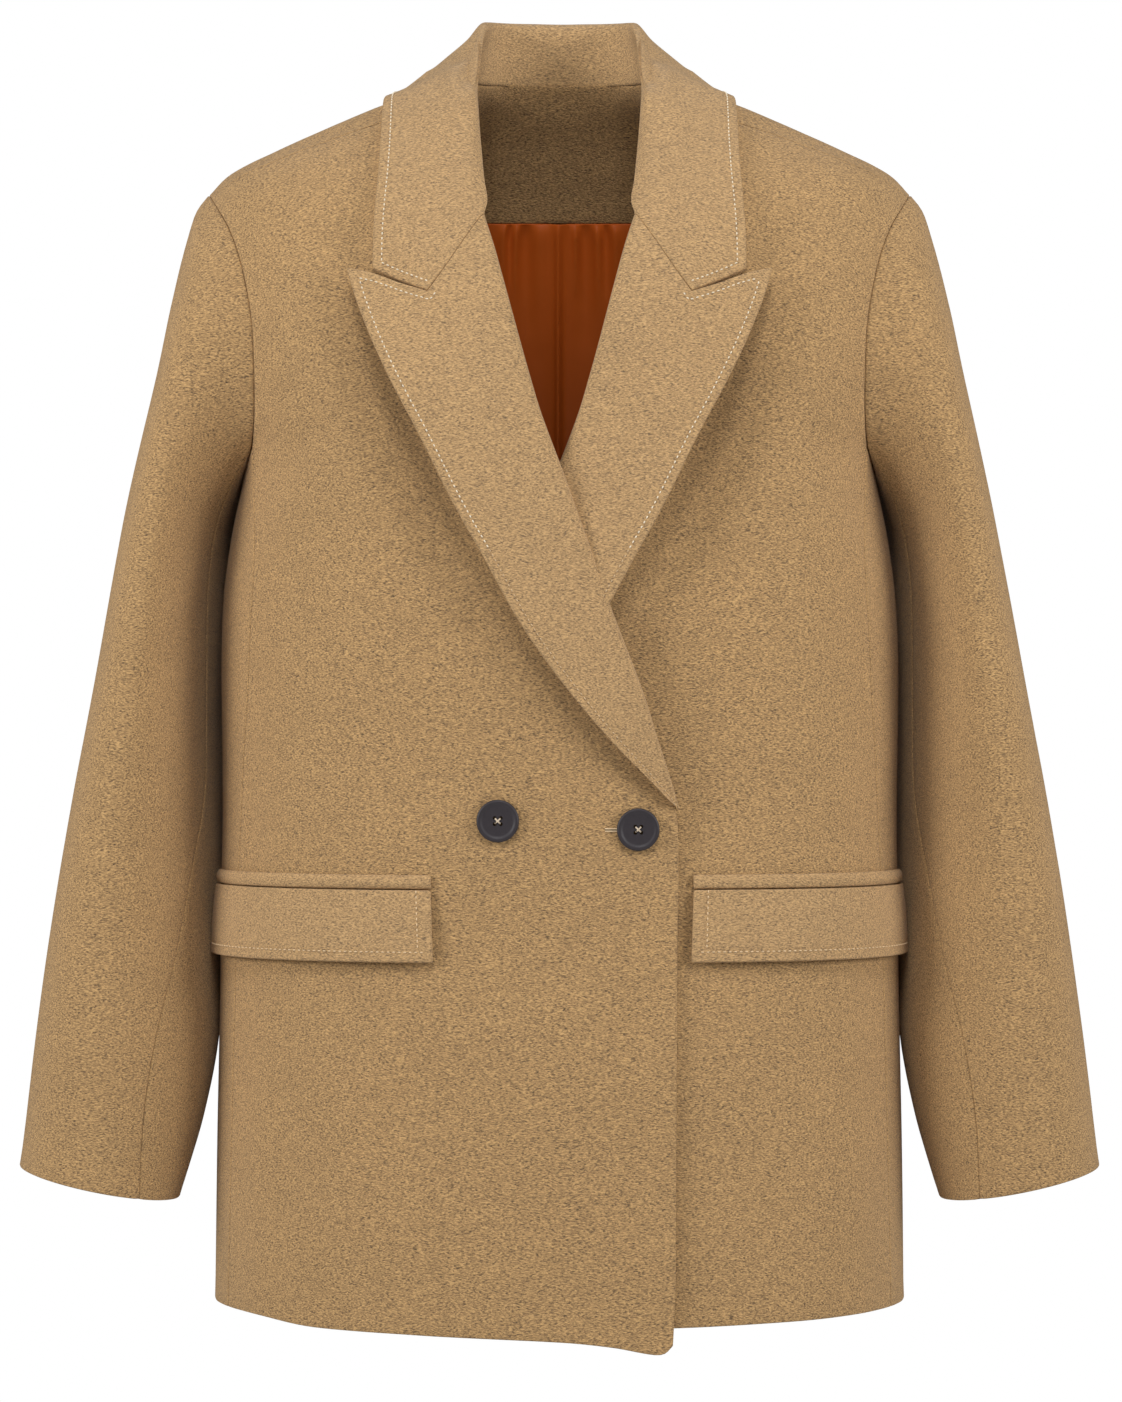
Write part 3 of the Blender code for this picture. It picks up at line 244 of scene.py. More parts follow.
# Inside the back: where the neck facing ends and the lining begins
FACING_TOP = 0.0205
FACING_TOP_OUT = 0.0650
FACING_FOOT = -0.0665
FACING_FOOT_OUT = 0.1050
FACING_LIFT = -0.0048
FACING_SINKS_BY = 0.2  # share of its depth over which it sinks away from the back
FACING_ROWS = 5
FACING_RISES = 0.0014  # how far its top edge comes up over the collar's seam
FACING_SKIPS = 2  # how many of the back's neck columns it leaves free beside each shoulder seam
LINING_LIFT = -0.0062
LINING = table(
    "height out",
    (-0.0665, 0.105), (-0.1, 0.15), (-0.25, 0.18), (-0.5, 0.188), (-0.8, 0.192),
)
LINING_ROWS = 12
LINING_ROW_SPREAD = 1.2
LINING_HALF_COLUMNS = 9
LINING_COLUMN_SPREAD = 1.6
PLEAT_DEPTH = 0.0035
PLEAT_WIDTH = 2.6  # degrees round the body

# How many steps the lines have that pieces share
SHOULDER_COLUMNS = 7
FRONT_NECK_COLUMNS = 5
BACK_NECK_COLUMNS = 12
ARMHOLE_FRONT_STEPS = 9
ARMHOLE_SIDE_STEPS = 6
ARMHOLE_BACK_STEPS = 11
SIDE_STEPS = 14
ROLL_STEPS = 14
LAPEL_STEPS = 18
COLLAR_STEPS = 16
POCKET_COLUMNS = 9
FINE_STEPS = 80  # to measure a pocket's length round the body
BACK_FADE = 4.0
SIDES = ((-1.0, "_right"), (1.0, "_left"))

# Shells: the rim's round, the fineness of their faces and the edges that stay in place
RIM = 0.0011
RIM_TURNS = (42.0, 90.0, 138.0)
RIM_CORNER = 0.3  # how far the rim is drawn in at a corner
GORGE_CORNER = (6,)  # the column where the gorge seam ends at the notch
CLOTH_SPACING = (0.006, 0.006)
LAPEL_SPACINGS = ((0.0035, 0.0035), (0.0020, 0.0018))  # rough, then fine
COLLAR_SPACINGS = ((0.0035, 0.0035), (0.0022, 0.0020))
POCKET_SPACINGS = ((0.002, 0.004), (0.0016, 0.0022))
LINING_SPACING = (0.008, 0.0018)
RELIEF_FADES_BY = 0.012
SHARP_RELIEF_FADES_BY = 0.004
LINING_RELIEF_FADES_BY = 0.003

# Soft troughs and ridges of each piece: from x z to x z, width, rise
CREASES = {
    "front_right": (
        (-0.14, -0.11, -0.05, -0.35, 0.029, -0.0125), (-0.198, -0.262, -0.15, -0.226, 0.01, -0.0012),
        (-0.2, -0.3, -0.14, -0.25, 0.014, 0.001), (-0.03, -0.52, -0.075, -0.7, 0.024, -0.0012),
        (-0.18, -0.6, -0.17, -0.8, 0.026, -0.0014),
    ),
    "front_left": (
        (0.14, -0.11, 0.046, -0.375, 0.032, -0.0135), (0.196, -0.258, 0.156, -0.218, 0.009, -0.001),
        (0.2, -0.31, 0.15, -0.252, 0.014, 0.0011), (0.15, -0.6, 0.146, -0.8, 0.024, -0.0012),
    ),
    "upper_sleeve_right": (
        (-0.236, -0.268, -0.268, -0.35, 0.01, -0.0014), (-0.242, -0.35, -0.292, -0.42, 0.012, -0.0012),
        (-0.262, -0.3, -0.3, -0.48, 0.016, 0.0012), (-0.25, -0.52, -0.33, -0.486, 0.012, -0.001),
    ),
    "upper_sleeve_left": (
        (0.236, -0.262, 0.266, -0.335, 0.01, -0.0013), (0.244, -0.365, 0.3, -0.445, 0.013, -0.0012),
        (0.266, -0.29, 0.304, -0.47, 0.016, 0.0012), (0.252, -0.54, 0.33, -0.505, 0.012, -0.001),
    ),
    "back": (
        (-0.15, -0.25, -0.1, -0.12, 0.018, -0.0015), (0.15, -0.25, 0.105, -0.13, 0.018, -0.0015),
        (-0.06, -0.42, -0.085, -0.7, 0.03, -0.0015), (0.07, -0.44, 0.08, -0.72, 0.03, -0.0015),
    ),
    "lining": (
        (-0.0405, -0.026, -0.04, -0.122, 0.0028, -0.0032),
        (-0.035, -0.026, -0.0365, -0.112, 0.003, 0.0026),
        (-0.031, -0.026, -0.0318, -0.112, 0.0026, -0.003),
        (-0.025, -0.026, -0.0235, -0.14, 0.005, 0.0024),
        (-0.013, -0.026, -0.014, -0.15, 0.006, -0.0022),
        (0.011, -0.026, 0.012, -0.112, 0.0028, -0.0032), (0.018, -0.026, 0.019, -0.15, 0.0055, 0.0024),
        (0.027, -0.026, 0.0275, -0.122, 0.0028, -0.0032),
        (0.0335, -0.026, 0.033, -0.112, 0.003, 0.0026), (0.04, -0.026, 0.0405, -0.122, 0.003, -0.003),
        (-0.0014, -0.03, -0.001, -0.42, 0.0018, -0.0032), (0.003, -0.04, 0.004, -0.3, 0.004, 0.0014),
    ),
}
CREASED_BEHIND = ("back", "lining")  # these show their creases on their +Y side
CREASE_ENDS = (0.08, 0.92)  # shares of a crease's length between which it rises and falls
CREASE_ROUND = 0.7
CREASE_FACING = (0.05, 0.45)  # how far a face has to turn to the viewer for its creases

# Slow waves: size, then for two products of sines their x, y, z and start in each sine
WAVE = 0.0004
WAVES = (
    (1.0, (17, 0, 9, 1.3), (0, -11, 13, 0.4)),
    (0.6, (14, 0, 31, 2.1), (23, -19, 0, 0.9)),
)

# Thread and cord: tubes of few sides
TUBE_SIDES = 6
TUBE_TURNS = np.radians(np.arange(TUBE_SIDES) * 360.0 / TUBE_SIDES)
UPRIGHT = 0.8  # from here a path's way counts as upright

# Pick stitching
PICK_INSET = 0.0058
PICK_DEPTH = 0.0005
PICK_WIDTH = 0.0014
PICK_SINKS_BELOW = -0.31
PICK_PITCH = 0.0037
PICK_LENGTH = 0.0019
PICK_THREAD = 0.0009
PICK_SINK = 0.0002
PICK_STATIONS = ((-0.5, 0.25), (-0.36, 0.85), (0.0, 1.0), (0.36, 0.85), (0.5, 0.25))  # place, size
FLAP_INSET = 0.0086
LAPEL_NOTCH_OUT = 0.0800
COLLAR_NOTCH_OUT = 0.0860
NOTCH_TURN = ((0.0795, -0.1505), (0.0765, -0.1470), (0.0752, -0.1425))
NOTCH_LIFT = 0.0064

# Buttons: x and height on the lapping front, and the turned profile (radius, height)
BUTTON_PLACES = {"button_right": (-0.0402, -0.4884), "button_left": (0.0513, -0.4940)}
BUTTON_SEAT = 0.0005
BUTTON_FACETS = 64
BUTTON_TURNED = (
    (0, 0.0026), (0.004, 0.0025), (0.0095, 0.0025), (0.0105, 0.0026), (0.0111, 0.003), (0.0118, 0.0032),
    (0.0127, 0.0033), (0.0134, 0.0031), (0.0138, 0.0026), (0.014, 0.0018), (0.0137, 0.001),
    (0.013, 0.0004), (0.0118, 0), (0, 0),
)
BUTTON_SHARP = 38.0
HOLES = 4
HOLE_TURN = 45.0
HOLE_OUT = 0.0028
HOLE_RADIUS = 0.00125
HOLE_DEPTH = 0.01
HOLE_MIDDLE = 0.002
HOLE_FACETS = 20
THREAD_LOW = 0.0012
THREAD_TOP = 0.0027
THREAD_RADIUS = 0.00028
THREAD_PATH = ((0.86, 1.0, THREAD_LOW), (0.8, 1.0, THREAD_TOP), (0.4, 0.8, THREAD_TOP + 0.0003),
               (0.0, 0.5, THREAD_TOP + 0.0006))  # share of the way out and aside, height
KNOT = (0.00062, 0.0005, 0.0002)
KNOT_RADIUS = 0.00036
KNOT_TURNS = 2.2 * math.pi
KNOT_STEPS = 16
KNOT_RISE = 1.7

# The buttonhole's slit, a dark tube of painted shadow, and its corded edges: drop, lift, radius, finish
SLIT_ENDS = (0.0297, 0.0400)
SLIT_HEIGHT = -0.4943
SLIT_STEPS = 8
SLIT_PARTS = (
    ("_slit", 0.0, -0.0001, 0.0004, "slit"),
    ("_upper_edge", 0.0008, 0.0001, 0.0005, "flap_thread"),
    ("_lower_edge", -0.0008, 0.0001, 0.0005, "flap_thread"),
)

# Fibres of the nap: turn in degrees, how many a metre along and across
FIBRES = ((38.0, 520.0, 1200.0), (50.0, 480.0, 1300.0))
FIBRE_BOUNDS = {"From_Min": 0.42, "From_Max": 0.68}
NAP_STRENGTH = 0.5
DRIFT = 0.006
DRIFT_SCALE = 34.0
CLOUD_SCALE = 14.0
WOOL_SHADES = (0.93, 1.06)  # how much darker and lighter the slow unevenness makes it
SATIN_THREADS = 420.0
SATIN_CLOUD = 30.0
SATIN_STRENGTH = 0.2
SATIN_SHADES = (0.93, 1.07)
PAINTED_LINING_SHADE = (-0.10, -0.27, 0.26)  # where the painted shade on the lining starts and ends, and how dark it gets
RESIN_CLOUD = 260.0
RESIN_SHADES = (0.85, 1.15)
RESIN_PITS = 1500.0
PIT_STRENGTH = 0.15
PIT_DEPTH = 0.0001

# The finish of each kind of surface: its recipe, what the recipe is given, the shader's settings
WOOLLEN = {"Roughness": 0.92, "Specular IOR Level": 0.2, "Sheen Weight": 0.12, "Sheen Roughness": 0.5}
FINISHES = {
    "wool": (
        "heathered cloth",
        {"Ground": (0.412, 0.250, 0.112, 1), "Dark fibre": (0.105, 0.070, 0.042, 1),
         "Light fibre": (0.680, 0.420, 0.180, 1), "Nap height": 0.0005},
        WOOLLEN,
    ),
    "pressed_wool": (
        "heathered cloth",
        {"Ground": (0.450, 0.280, 0.130, 1), "Dark fibre": (0.160, 0.108, 0.064, 1),
         "Light fibre": (0.680, 0.430, 0.200, 1), "Nap height": 0.0004},
        WOOLLEN,
    ),
    "lining": (
        "woven satin",
        {"Cloth": (0.60, 0.116, 0.013, 1), "Thread height": 0.00006},
        {"Roughness": 0.5, "Specular IOR Level": 0.15},
    ),
    "button": ("moulded resin", {"Resin": (0.028, 0.022, 0.026, 1)}, {"Roughness": 0.5}),
    "thread": ("moulded resin", {"Resin": (0.68, 0.56, 0.42, 1)}, {"Roughness": 0.8}),
    "flap_thread": ("moulded resin", {"Resin": (0.78, 0.58, 0.35, 1)}, {"Roughness": 0.8}),
    "pick_thread": ("moulded resin", {"Resin": (0.88, 0.78, 0.60, 1)}, {"Roughness": 0.8}),
    "sunk_thread": ("moulded resin", {"Resin": (0.60, 0.43, 0.25, 1)}, {"Roughness": 0.8}),
    # The slit's dark colour is painted shadow: the shade down in the cut.
    "slit": ("moulded resin", {"Resin": (0.10, 0.065, 0.035, 1)}, {"Roughness": 0.9}),
}

# Studio: name, place, aim, size, power
LIGHTS = (
    ("top soft box", (0.0, -1.7, 1.55), (0.0, -0.05, -0.45), 0.9, 25.0),
    ("left soft box", (-2.4, -1.35, 0.35), (0.0, 0.0, -0.45), 1.2, 44.0),
    ("right soft box", (2.4, -1.35, 0.35), (0.0, 0.0, -0.45), 1.2, 41.0),
)
SURROUND = 0.20
FLOOR_SIZE = 4.0
FLOOR_HEIGHT = -1.5
FLOOR_COLOUR = (0.8, 0.8, 0.8, 1)
CAMERA_PLACE = (0.001, -2.4, -0.410)
SENSOR = 36
CAMERA_LENS = 3489 / 1122 * SENSOR
CAMERA_SEES_TO = 50


# Curves and surfaces --------------------------------------------------------------------------


def bent(t, width, ends, slopes):
    """Between two ends with a slope at each, at a share of the width between them."""
    from_start = (1 + 2 * t) * (1 - t) ** 2 * ends[0] + t * (1 - t) ** 2 * width * slopes[0]
    from_end = t**2 * (3 - 2 * t) * ends[1] + t**2 * (t - 1) * width * slopes[1]
    return from_start + from_end


def smooth(xs, ys, x):
    """A smooth curve through points with rising xs, which never overshoots them."""
    slopes = np.diff(ys) / np.diff(xs)
    tangents = np.concatenate(([slopes[0]], np.zeros(len(xs) - 2), [slopes[-1]]))
    for i in range(1, len(xs) - 1):
        if slopes[i - 1] * slopes[i] > 0:
            tangents[i] = 2 / (1 / slopes[i - 1] + 1 / slopes[i])
    x = np.clip(x, xs[0], xs[-1])
    i = np.clip(np.searchsorted(xs, x) - 1, 0, len(xs) - 2)
    width = xs[i + 1] - xs[i]
    return bent((x - xs[i]) / width, width, ys[[i, i + 1]], tangents[[i, i + 1]])


def read(columns, name, at, key="height"):
    """One column of a table, read smoothly where the key column has the value given."""
    order = np.argsort(columns[key])
    return smooth(columns[key][order], columns[name][order], np.asarray(at, dtype=float))


def length_along(points):
    """How far along a line each of its points lies."""
    return np.concatenate([[0.0], np.cumsum(np.linalg.norm(np.diff(points, axis=0), axis=1))])


def straight_between(at, run, points):
    return np.stack([np.interp(at, run, points[:, k]) for k in range(3)], axis=-1)


def seen_line(columns):
    return np.stack([columns["out"], columns["height"]], axis=-1)


def traced(columns, steps):
    """Evenly spaced points along the smooth line through a table's points."""
    points = seen_line(columns)
    run = length_along(points)
    at = np.linspace(0.0, run[-1], steps + 1)
    return np.stack([smooth(run, points[:, k], at) for k in range(2)], axis=-1)


def unit(vectors):
    return vectors / np.linalg.norm(vectors, axis=-1, keepdims=True)


def fraction(steps):
    return np.linspace(0.0, 1.0, steps + 1)


def mix(a, b, share):
    return a + (b - a) * share


def eased(low, high, value):
    """0 below low and 1 above high, with a soft start and end."""
    t = np.clip((value - low) / (high - low), 0.0, 1.0)
    return t * t * (3 - 2 * t)


def body_ratio(points):
    """1 on the body's face, less inside and more outside."""
    x, y, z = np.moveaxis(points, -1, 0)
    depth = np.where(y < 0, read(BODY, "front_depth", z), read(BODY, "back_depth", z))
    across = np.abs(x) / read(BODY, "half_width", z)
    along = np.abs(y) / depth
    return (across**SECTION_POWER + along**SECTION_POWER) ** (1 / SECTION_POWER)


def body_slope(points):
    """How the ratio changes in x, y and z."""
    shifts = np.eye(3) * SLOPE_STEP
    slopes = [(body_ratio(points + s) - body_ratio(points - s)) / (2 * SLOPE_STEP) for s in shifts]
    return np.stack(slopes, axis=-1)


def outward(points):
    return unit(body_slope(points))


def body_point(angle, height):
    """The point of the body's face at an angle in degrees and a height."""
    angle = np.radians(angle)
    height = np.broadcast_to(height, angle.shape)
    front = np.cos(angle) > 0
    depth = np.where(front, read(BODY, "front_depth", height), read(BODY, "back_depth", height))
    across = np.abs(np.sin(angle)) / read(BODY, "half_width", height)
    along = np.abs(np.cos(angle)) / depth
    reach = (across**SECTION_POWER + along**SECTION_POWER) ** (-1 / SECTION_POWER)
    return np.stack([reach * np.sin(angle), -reach * np.cos(angle), height], axis=-1)


def on_body(domain):
    """The points of the body's face at a grid or line of (angle, height)."""
    return body_point(domain[..., 0], domain[..., 1])


def angle_at(out, height, back=False):
    """The angle of the front's (or the back's) point at a distance from the middle."""
    depth = read(BODY, "back_depth" if back else "front_depth", height)
    share = np.minimum(np.abs(out) / read(BODY, "half_width", height), 1.0)
    y = depth * (1 - share**SECTION_POWER) ** (1 / SECTION_POWER)
    return np.degrees(np.arctan2(out, -y if back else y))


def seated(points, lift):
    """Rough points moved onto the body's face and then out by a lift."""
    for _ in range(SEATING_ROUNDS):
        slope = body_slope(points)
        step = (body_ratio(points) - 1) / np.sum(slope * slope, axis=-1)
        points = points - slope * step[..., None]
    return points + outward(points) * np.asarray(lift)[..., None]


def kept_off(points, lift):
    """Points moved out where they lie closer to the body's face than a lift."""
    slope = body_slope(points)
    length = np.linalg.norm(slope, axis=-1)
    short = np.maximum(lift - (body_ratio(points) - 1) / length, 0.0)
    return points + slope / length[..., None] * short[..., None]


def kept_off_panels(points, lift):
    """The same, but only where there are panels: below the neck edge."""
    below = points[..., 2:] < NECK["height"].max()
    return np.where(below, kept_off(points, lift), points)


def patch(top, bottom, left, right, fade=1.0):
    """A grid of points spanned between four edges, rows from top to bottom. The top's own form
    fades out sooner down the rows with a larger fade."""
    u = fraction(len(top) - 1)[None, :, None]
    v = fraction(len(left) - 1)[:, None, None]
    top_form = top[None] - mix(top[0], top[-1], u)
    bottom_form = bottom[None] - mix(bottom[0], bottom[-1], u)
    return mix(left[:, None], right[:, None], u) + top_form * (1 - v) ** fade + bottom_form * v


def grid_normals(points):
    """Unit normals of a grid, from the slopes of its rows and columns."""
    return unit(np.cross(np.gradient(points, axis=1), np.gradient(points, axis=0)))


def mirrored(points, side):
    return points * np.array([side, 1.0, 1.0])


# Shells ---------------------------------------------------------------------------------------


def eased_seams(outer, inner, seams):
    """Both faces of a piece, drawn back by half the seam gap along the seams named."""
    ends = {
        "top": (np.s_[0], np.s_[1]),
        "bottom": (np.s_[-1], np.s_[-2]),
        "left": (np.s_[:, 0], np.s_[:, 1]),
        "right": (np.s_[:, -1], np.s_[:, -2]),
    }
    outer = outer.copy()
    inner = inner.copy()
    for name in seams:
        edge, beside = ends[name]
        along = unit(np.gradient(outer[edge], axis=0))
        step = unit(outer[beside] - outer[edge])
        step = step - along * np.sum(step * along, axis=-1, keepdims=True)
        step = unit(step) * SEAM / 2
        outer[edge] += step
        inner[edge] += step
    return outer, inner


def flowing(run, points, at, corners=()):
    """Points read smoothly at places along a run, between the points of the first axis. The line
    may turn sharply at corners."""
    if corners:
        here = corners[0]
        before, after = at <= run[here], at > run[here]
        first = flowing(run[: here + 1], points[: here + 1], at[before])
        rest = flowing(run[here:], points[here:], at[after], [c - here for c in corners[1:]])
        return np.concatenate([first, rest])
    width = np.diff(run).reshape((-1,) + (1,) * (points.ndim - 1))
    slope = np.diff(points, axis=0) / width
    middle = (slope[:-1] * width[1:] + slope[1:] * width[:-1]) / (width[:-1] + width[1:])
    tangent = np.concatenate([slope[:1], middle, slope[-1:]])
    i = np.clip(np.searchsorted(run, at, side="right") - 1, 0, len(run) - 2)
    w = width[i]
    t = ((at - run[i]) / (run[i + 1] - run[i])).reshape(w.shape)
    return bent(t, w, points[[i, i + 1]], tangent[[i, i + 1]])


def run_of(points):
    """The mean distance run along the first axis of a grid."""
    steps = np.linalg.norm(np.diff(points, axis=0), axis=-1)
    return np.concatenate([[0.0], np.cumsum(steps.mean(axis=1))])


def places(run, spacing):
    """Places along a run, with every old one kept and a narrow margin at both ends."""
    at = [0.0]
    for start, end in zip(run[:-1], run[1:]):
        at += list(mix(start, end, fraction(max(1, math.ceil((end - start) / spacing))))[1:])
    inner = [place for place in at if RIM < place < run[-1] - RIM]
    return np.array([0.0, RIM] + inner + [run[-1] - RIM, run[-1]])


def nearest(points, line):
    """The distance of each point from the nearest point of a line."""
    flat = points.reshape(-1, 3)
    far = np.full(len(flat), np.inf)
    batch = 64
    for start in range(0, len(line), batch):
        gaps = np.linalg.norm(flat[:, None] - line[None, start : start + batch], axis=-1)
        far = np.minimum(far, gaps.min(axis=1))
    return far.reshape(points.shape[:-1])


def creased(name, points, normals):
    """Height of the listed troughs and ridges of one piece, at its points."""
    height = np.zeros(points.shape[:2])
    shown = normals[..., 1] if name in CREASED_BEHIND else -normals[..., 1]
    for x0, z0, x1, z1, width, rise in CREASES.get(name, ()):
        a, b = np.array([x0, z0]), np.array([x1, z1])
        flat = points[..., [0, 2]] - a
        share = np.clip((flat @ (b - a)) / np.sum((b - a) ** 2), 0.0, 1.0)
        away = np.linalg.norm(flat - share[..., None] * (b - a), axis=-1)
        faded = np.sin(np.pi * np.clip(share, *CREASE_ENDS)) ** CREASE_ROUND
        height += rise * np.exp(-((away / width) ** 2)) * faded * eased(*CREASE_FACING, shown)
    return height


def uneven(points):
    """Slow, slight waves of cloth that lies over a figure."""
    height = 0.0
    for size, *sines in WAVES:
        first, second = (np.sin(points @ np.array(s[:3], dtype=float) + s[3]) for s in sines)
        height = height + size * first * second
    return WAVE * height


def cloth_faces(name, outer, inner, seams=(), spacing=CLOTH_SPACING, relief=None, corners=(),
                fades_by=RELIEF_FADES_BY):
    """Both faces of a piece, read finely between the solid's own points, with soft creases."""
    outer, inner = eased_seams(outer, inner, seams)
    down, across = run_of(outer), run_of(np.swapaxes(outer, 0, 1))
    at_down, at_across = (places(run, step) for run, step in zip((down, across), spacing))
    face, under = (
        np.swapaxes(
            flowing(across, np.swapaxes(flowing(down, sheet, at_down), 0, 1), at_across, corners),
            0, 1,
        )
        for sheet in (outer, inner)
    )
    normals = unit(face - under)
    height = creased(name, face, normals) + uneven(face)
    if relief is not None:
        height = height + relief(face)
    fade = np.minimum.outer(*(np.minimum(at, at[-1] - at) for at in (at_down, at_across)))
    shift = normals * (height * eased(0.0, fades_by, fade))[..., None]
    return face + shift, under + shift, normals, at_down, at_across


def cloth_shell(name, outer, inner, slot, seams=(), **more):
    """A thin closed sheet on its solid's form, with a rounded rim."""
    face, under, normals, at_down, at_across = cloth_faces(name, outer, inner, seams, **more)
    made = new_piece(shell_mesh(name + "_cloth", face, under, at_down, at_across), slot)
    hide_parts(name)
    return face[1:-1, 1:-1], normals[1:-1, 1:-1]


def pressed_shell(name, outer, inner, spacings, find_lines, seams=(), corners=(), **more):
    """A shell with troughs along its stitch lines, which are found on a rougher reading of it."""
    rough = cloth_faces(name, outer, inner, seams, spacings[0], corners=corners)[0]
    lines = find_lines(rough[1:-1, 1:-1])
    face, normals = cloth_shell(name, outer, inner, "pressed_wool", seams, spacing=spacings[1],
                                relief=grooves(lines), corners=corners, **more)
    return lines, face, normals


def linked(name, data):
    made = bpy.data.objects.new(name, data)
    bpy.context.scene.collection.objects.link(made)
    return made


def new_piece(mesh, slot):
    """An object of a mesh, in a slot's finish, that rides on the one body."""
    made = linked(mesh.name, mesh)
    mesh.materials.append(finish(slot))
    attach(made, "root")
    return made


def closed_mesh(name, points, faces):
    """A smooth mesh whose faces all look outward."""
    mesh = bpy.data.meshes.new(name)
    mesh.from_pydata([tuple(point) for point in points], [], faces)
    shape = bmesh.new()
    shape.from_mesh(mesh)
    bmesh.ops.recalc_face_normals(shape, faces=shape.faces)
    shape.to_mesh(mesh)
    shape.free()
    mesh.shade_smooth()
    return mesh


def shell_mesh(name, face, under, at_down, at_across):
    """The closed mesh: two grids of quads, three loops round the rim, and a flat map in metres."""
    rows, columns = face.shape[0] - 2, face.shape[1] - 2
    count = rows * columns
    grid = np.arange(count).reshape(rows, columns)
    points = [face[1:-1, 1:-1].reshape(-1, 3), under[1:-1, 1:-1].reshape(-1, 3)]
    corner = grid[:-1, :-1], grid[1:, :-1], grid[1:, 1:], grid[:-1, 1:]
    quads = np.stack(corner, axis=-1).reshape(-1, 4)
    faces = [quads, quads[:, ::-1] + count]
    rim = [(0, j) for j in range(columns)] + [(i, columns - 1) for i in range(1, rows)]
    rim += [(rows - 1, j) for j in range(columns - 2, -1, -1)]
    rim += [(i, 0) for i in range(rows - 2, 0, -1)]
    rim = np.array(rim)
    ends = rim == 0, rim == (rows - 1, columns - 1)
    out = np.where(ends[0], 0, np.where(ends[1], (rows + 1, columns + 1), rim + 1))
    at_rim = grid[rim[:, 0], rim[:, 1]]
    above, below = points[0][at_rim], points[1][at_rim]
    middle = (above + below) / 2
    edge = (face[out[:, 0], out[:, 1]] + under[out[:, 0], out[:, 1]]) / 2
    turned = (ends[0] | ends[1]).all(axis=1, keepdims=True)
    edge = mix(edge, middle, np.where(turned, RIM_CORNER, 0.0))
    loops = [at_rim]
    for k, angle in enumerate(np.radians(RIM_TURNS)):
        points.append(middle + math.cos(angle) * (above - middle) + math.sin(angle) * (edge - middle))
        loops.append(2 * count + k * len(rim) + np.arange(len(rim)))
    loops.append(at_rim + count)
    for here, after in zip(loops[:-1], loops[1:]):
        faces.append(np.stack([here, after, np.roll(after, -1), np.roll(here, -1)], axis=-1))
    mesh = closed_mesh(name, np.concatenate(points), np.concatenate(faces).tolist())
    flat = np.stack(np.meshgrid(at_across[1:-1], at_down[1:-1]), axis=-1).reshape(-1, 2)
    spread = np.concatenate([flat, flat] + [flat[at_rim]] * len(RIM_TURNS))
    corners = np.empty(len(mesh.loops), dtype=np.int32)
    mesh.loops.foreach_get("vertex_index", corners)
    mesh.uv_layers.new(name="cloth").uv.foreach_set("vector", spread[corners].ravel())
    return mesh


def body_shell(name, domain, lift, slot="wool", thickness=WOOL, side=1.0, **more):
    """A shell on the body's face, from a grid of (angle, height) and a lift over the face."""
    base = on_body(domain)
    out = outward(base)
    outer = base + out * np.asarray(lift)[..., None]
    inner = outer - out * thickness
    cloth_shell(name, mirrored(outer, side), mirrored(inner, side), slot, **more)


# Stitching ------------------------------------------------------------------------------------


def inset_line(face, edge, inset=PICK_INSET, ends=()):
    """A line on a grid of points at a distance from one edge, as far as it stays that far from
    the other edges named."""
    grid = {"right": face[:, ::-1], "left": face, "top": np.swapaxes(face, 0, 1),
            "bottom": np.swapaxes(face[::-1], 0, 1)}[edge]
    points = []
    for row in grid:
        run = length_along(row)
        if run[-1] > 2 * inset:
            points.append(straight_between(inset, run, row))
    points = np.array(points)
    borders = {"right": face[:, -1], "left": face[:, 0], "top": face[0], "bottom": face[-1]}
    for name in ends:
        points = points[nearest(points, borders[name]) > inset]
    return points


def notch_line(face, edge, out):
    """The inset line along the part of an end that lies outside the gorge seam."""
    line = inset_line(face, edge, ends=("right",))
    return line[np.abs(line[:, 0]) > out]


def notch_turn(side):
    """The short line that turns round the notch, from the lapel's top up to the gorge seam."""
    base, out = front_points(np.array(NOTCH_TURN), side)
    return mirrored(base + out * NOTCH_LIFT, side)


def tube(verts, faces, rings):
    """A closed tube through rings of points."""
    first = len(verts)
    for ring in rings:
        verts += ring
    last = len(verts) - TUBE_SIDES
    for start in range(first, last, TUBE_SIDES):
        for j in range(TUBE_SIDES):
            a, b = start + j, start + (j + 1) % TUBE_SIDES
            faces.append((a, b, b + TUBE_SIDES, a + TUBE_SIDES))
    faces += [tuple(range(first, first + TUBE_SIDES))[::-1], tuple(range(last, last + TUBE_SIDES))]


def stitches(name, lines, face, normals, slot="pick_thread"):
    """Short rounded stitches along lines on a face, joined in one object."""
    flat, out = face.reshape(-1, 3), normals.reshape(-1, 3)
    verts, faces = [], []
    radius = PICK_THREAD / 2
    for line in lines:
        run = length_along(line)
        at = np.linspace(0.0, run[-1], max(2, round(run[-1] / PICK_PITCH)) + 1)
        points = straight_between(at, run, line)
        for point, along in zip(points, unit(np.gradient(points, axis=0))):
            up = out[np.argmin(np.sum((flat - point) ** 2, axis=1))]
            side = unit(np.cross(along, up))
            rings = []
            for place, size in PICK_STATIONS:
                bow = up * (radius * (1 - (2 * place) ** 2) - PICK_SINK)
                middle = point + along * place * PICK_LENGTH + bow
                rings.append([
                    middle + (side * math.cos(turn) + up * math.sin(turn)) * radius * size
                    for turn in TUBE_TURNS
                ])
            tube(verts, faces, rings)
    new_piece(closed_mesh(name, verts, faces), slot)


def grooves(lines):
    """A trough along stitch lines, for a shell's relief."""
    def trough(face):
        height = np.zeros(face.shape[:2])
        for line in lines:
            height -= PICK_DEPTH * np.exp(-((nearest(face, line) / PICK_WIDTH) ** 2))
        return height
    return trough


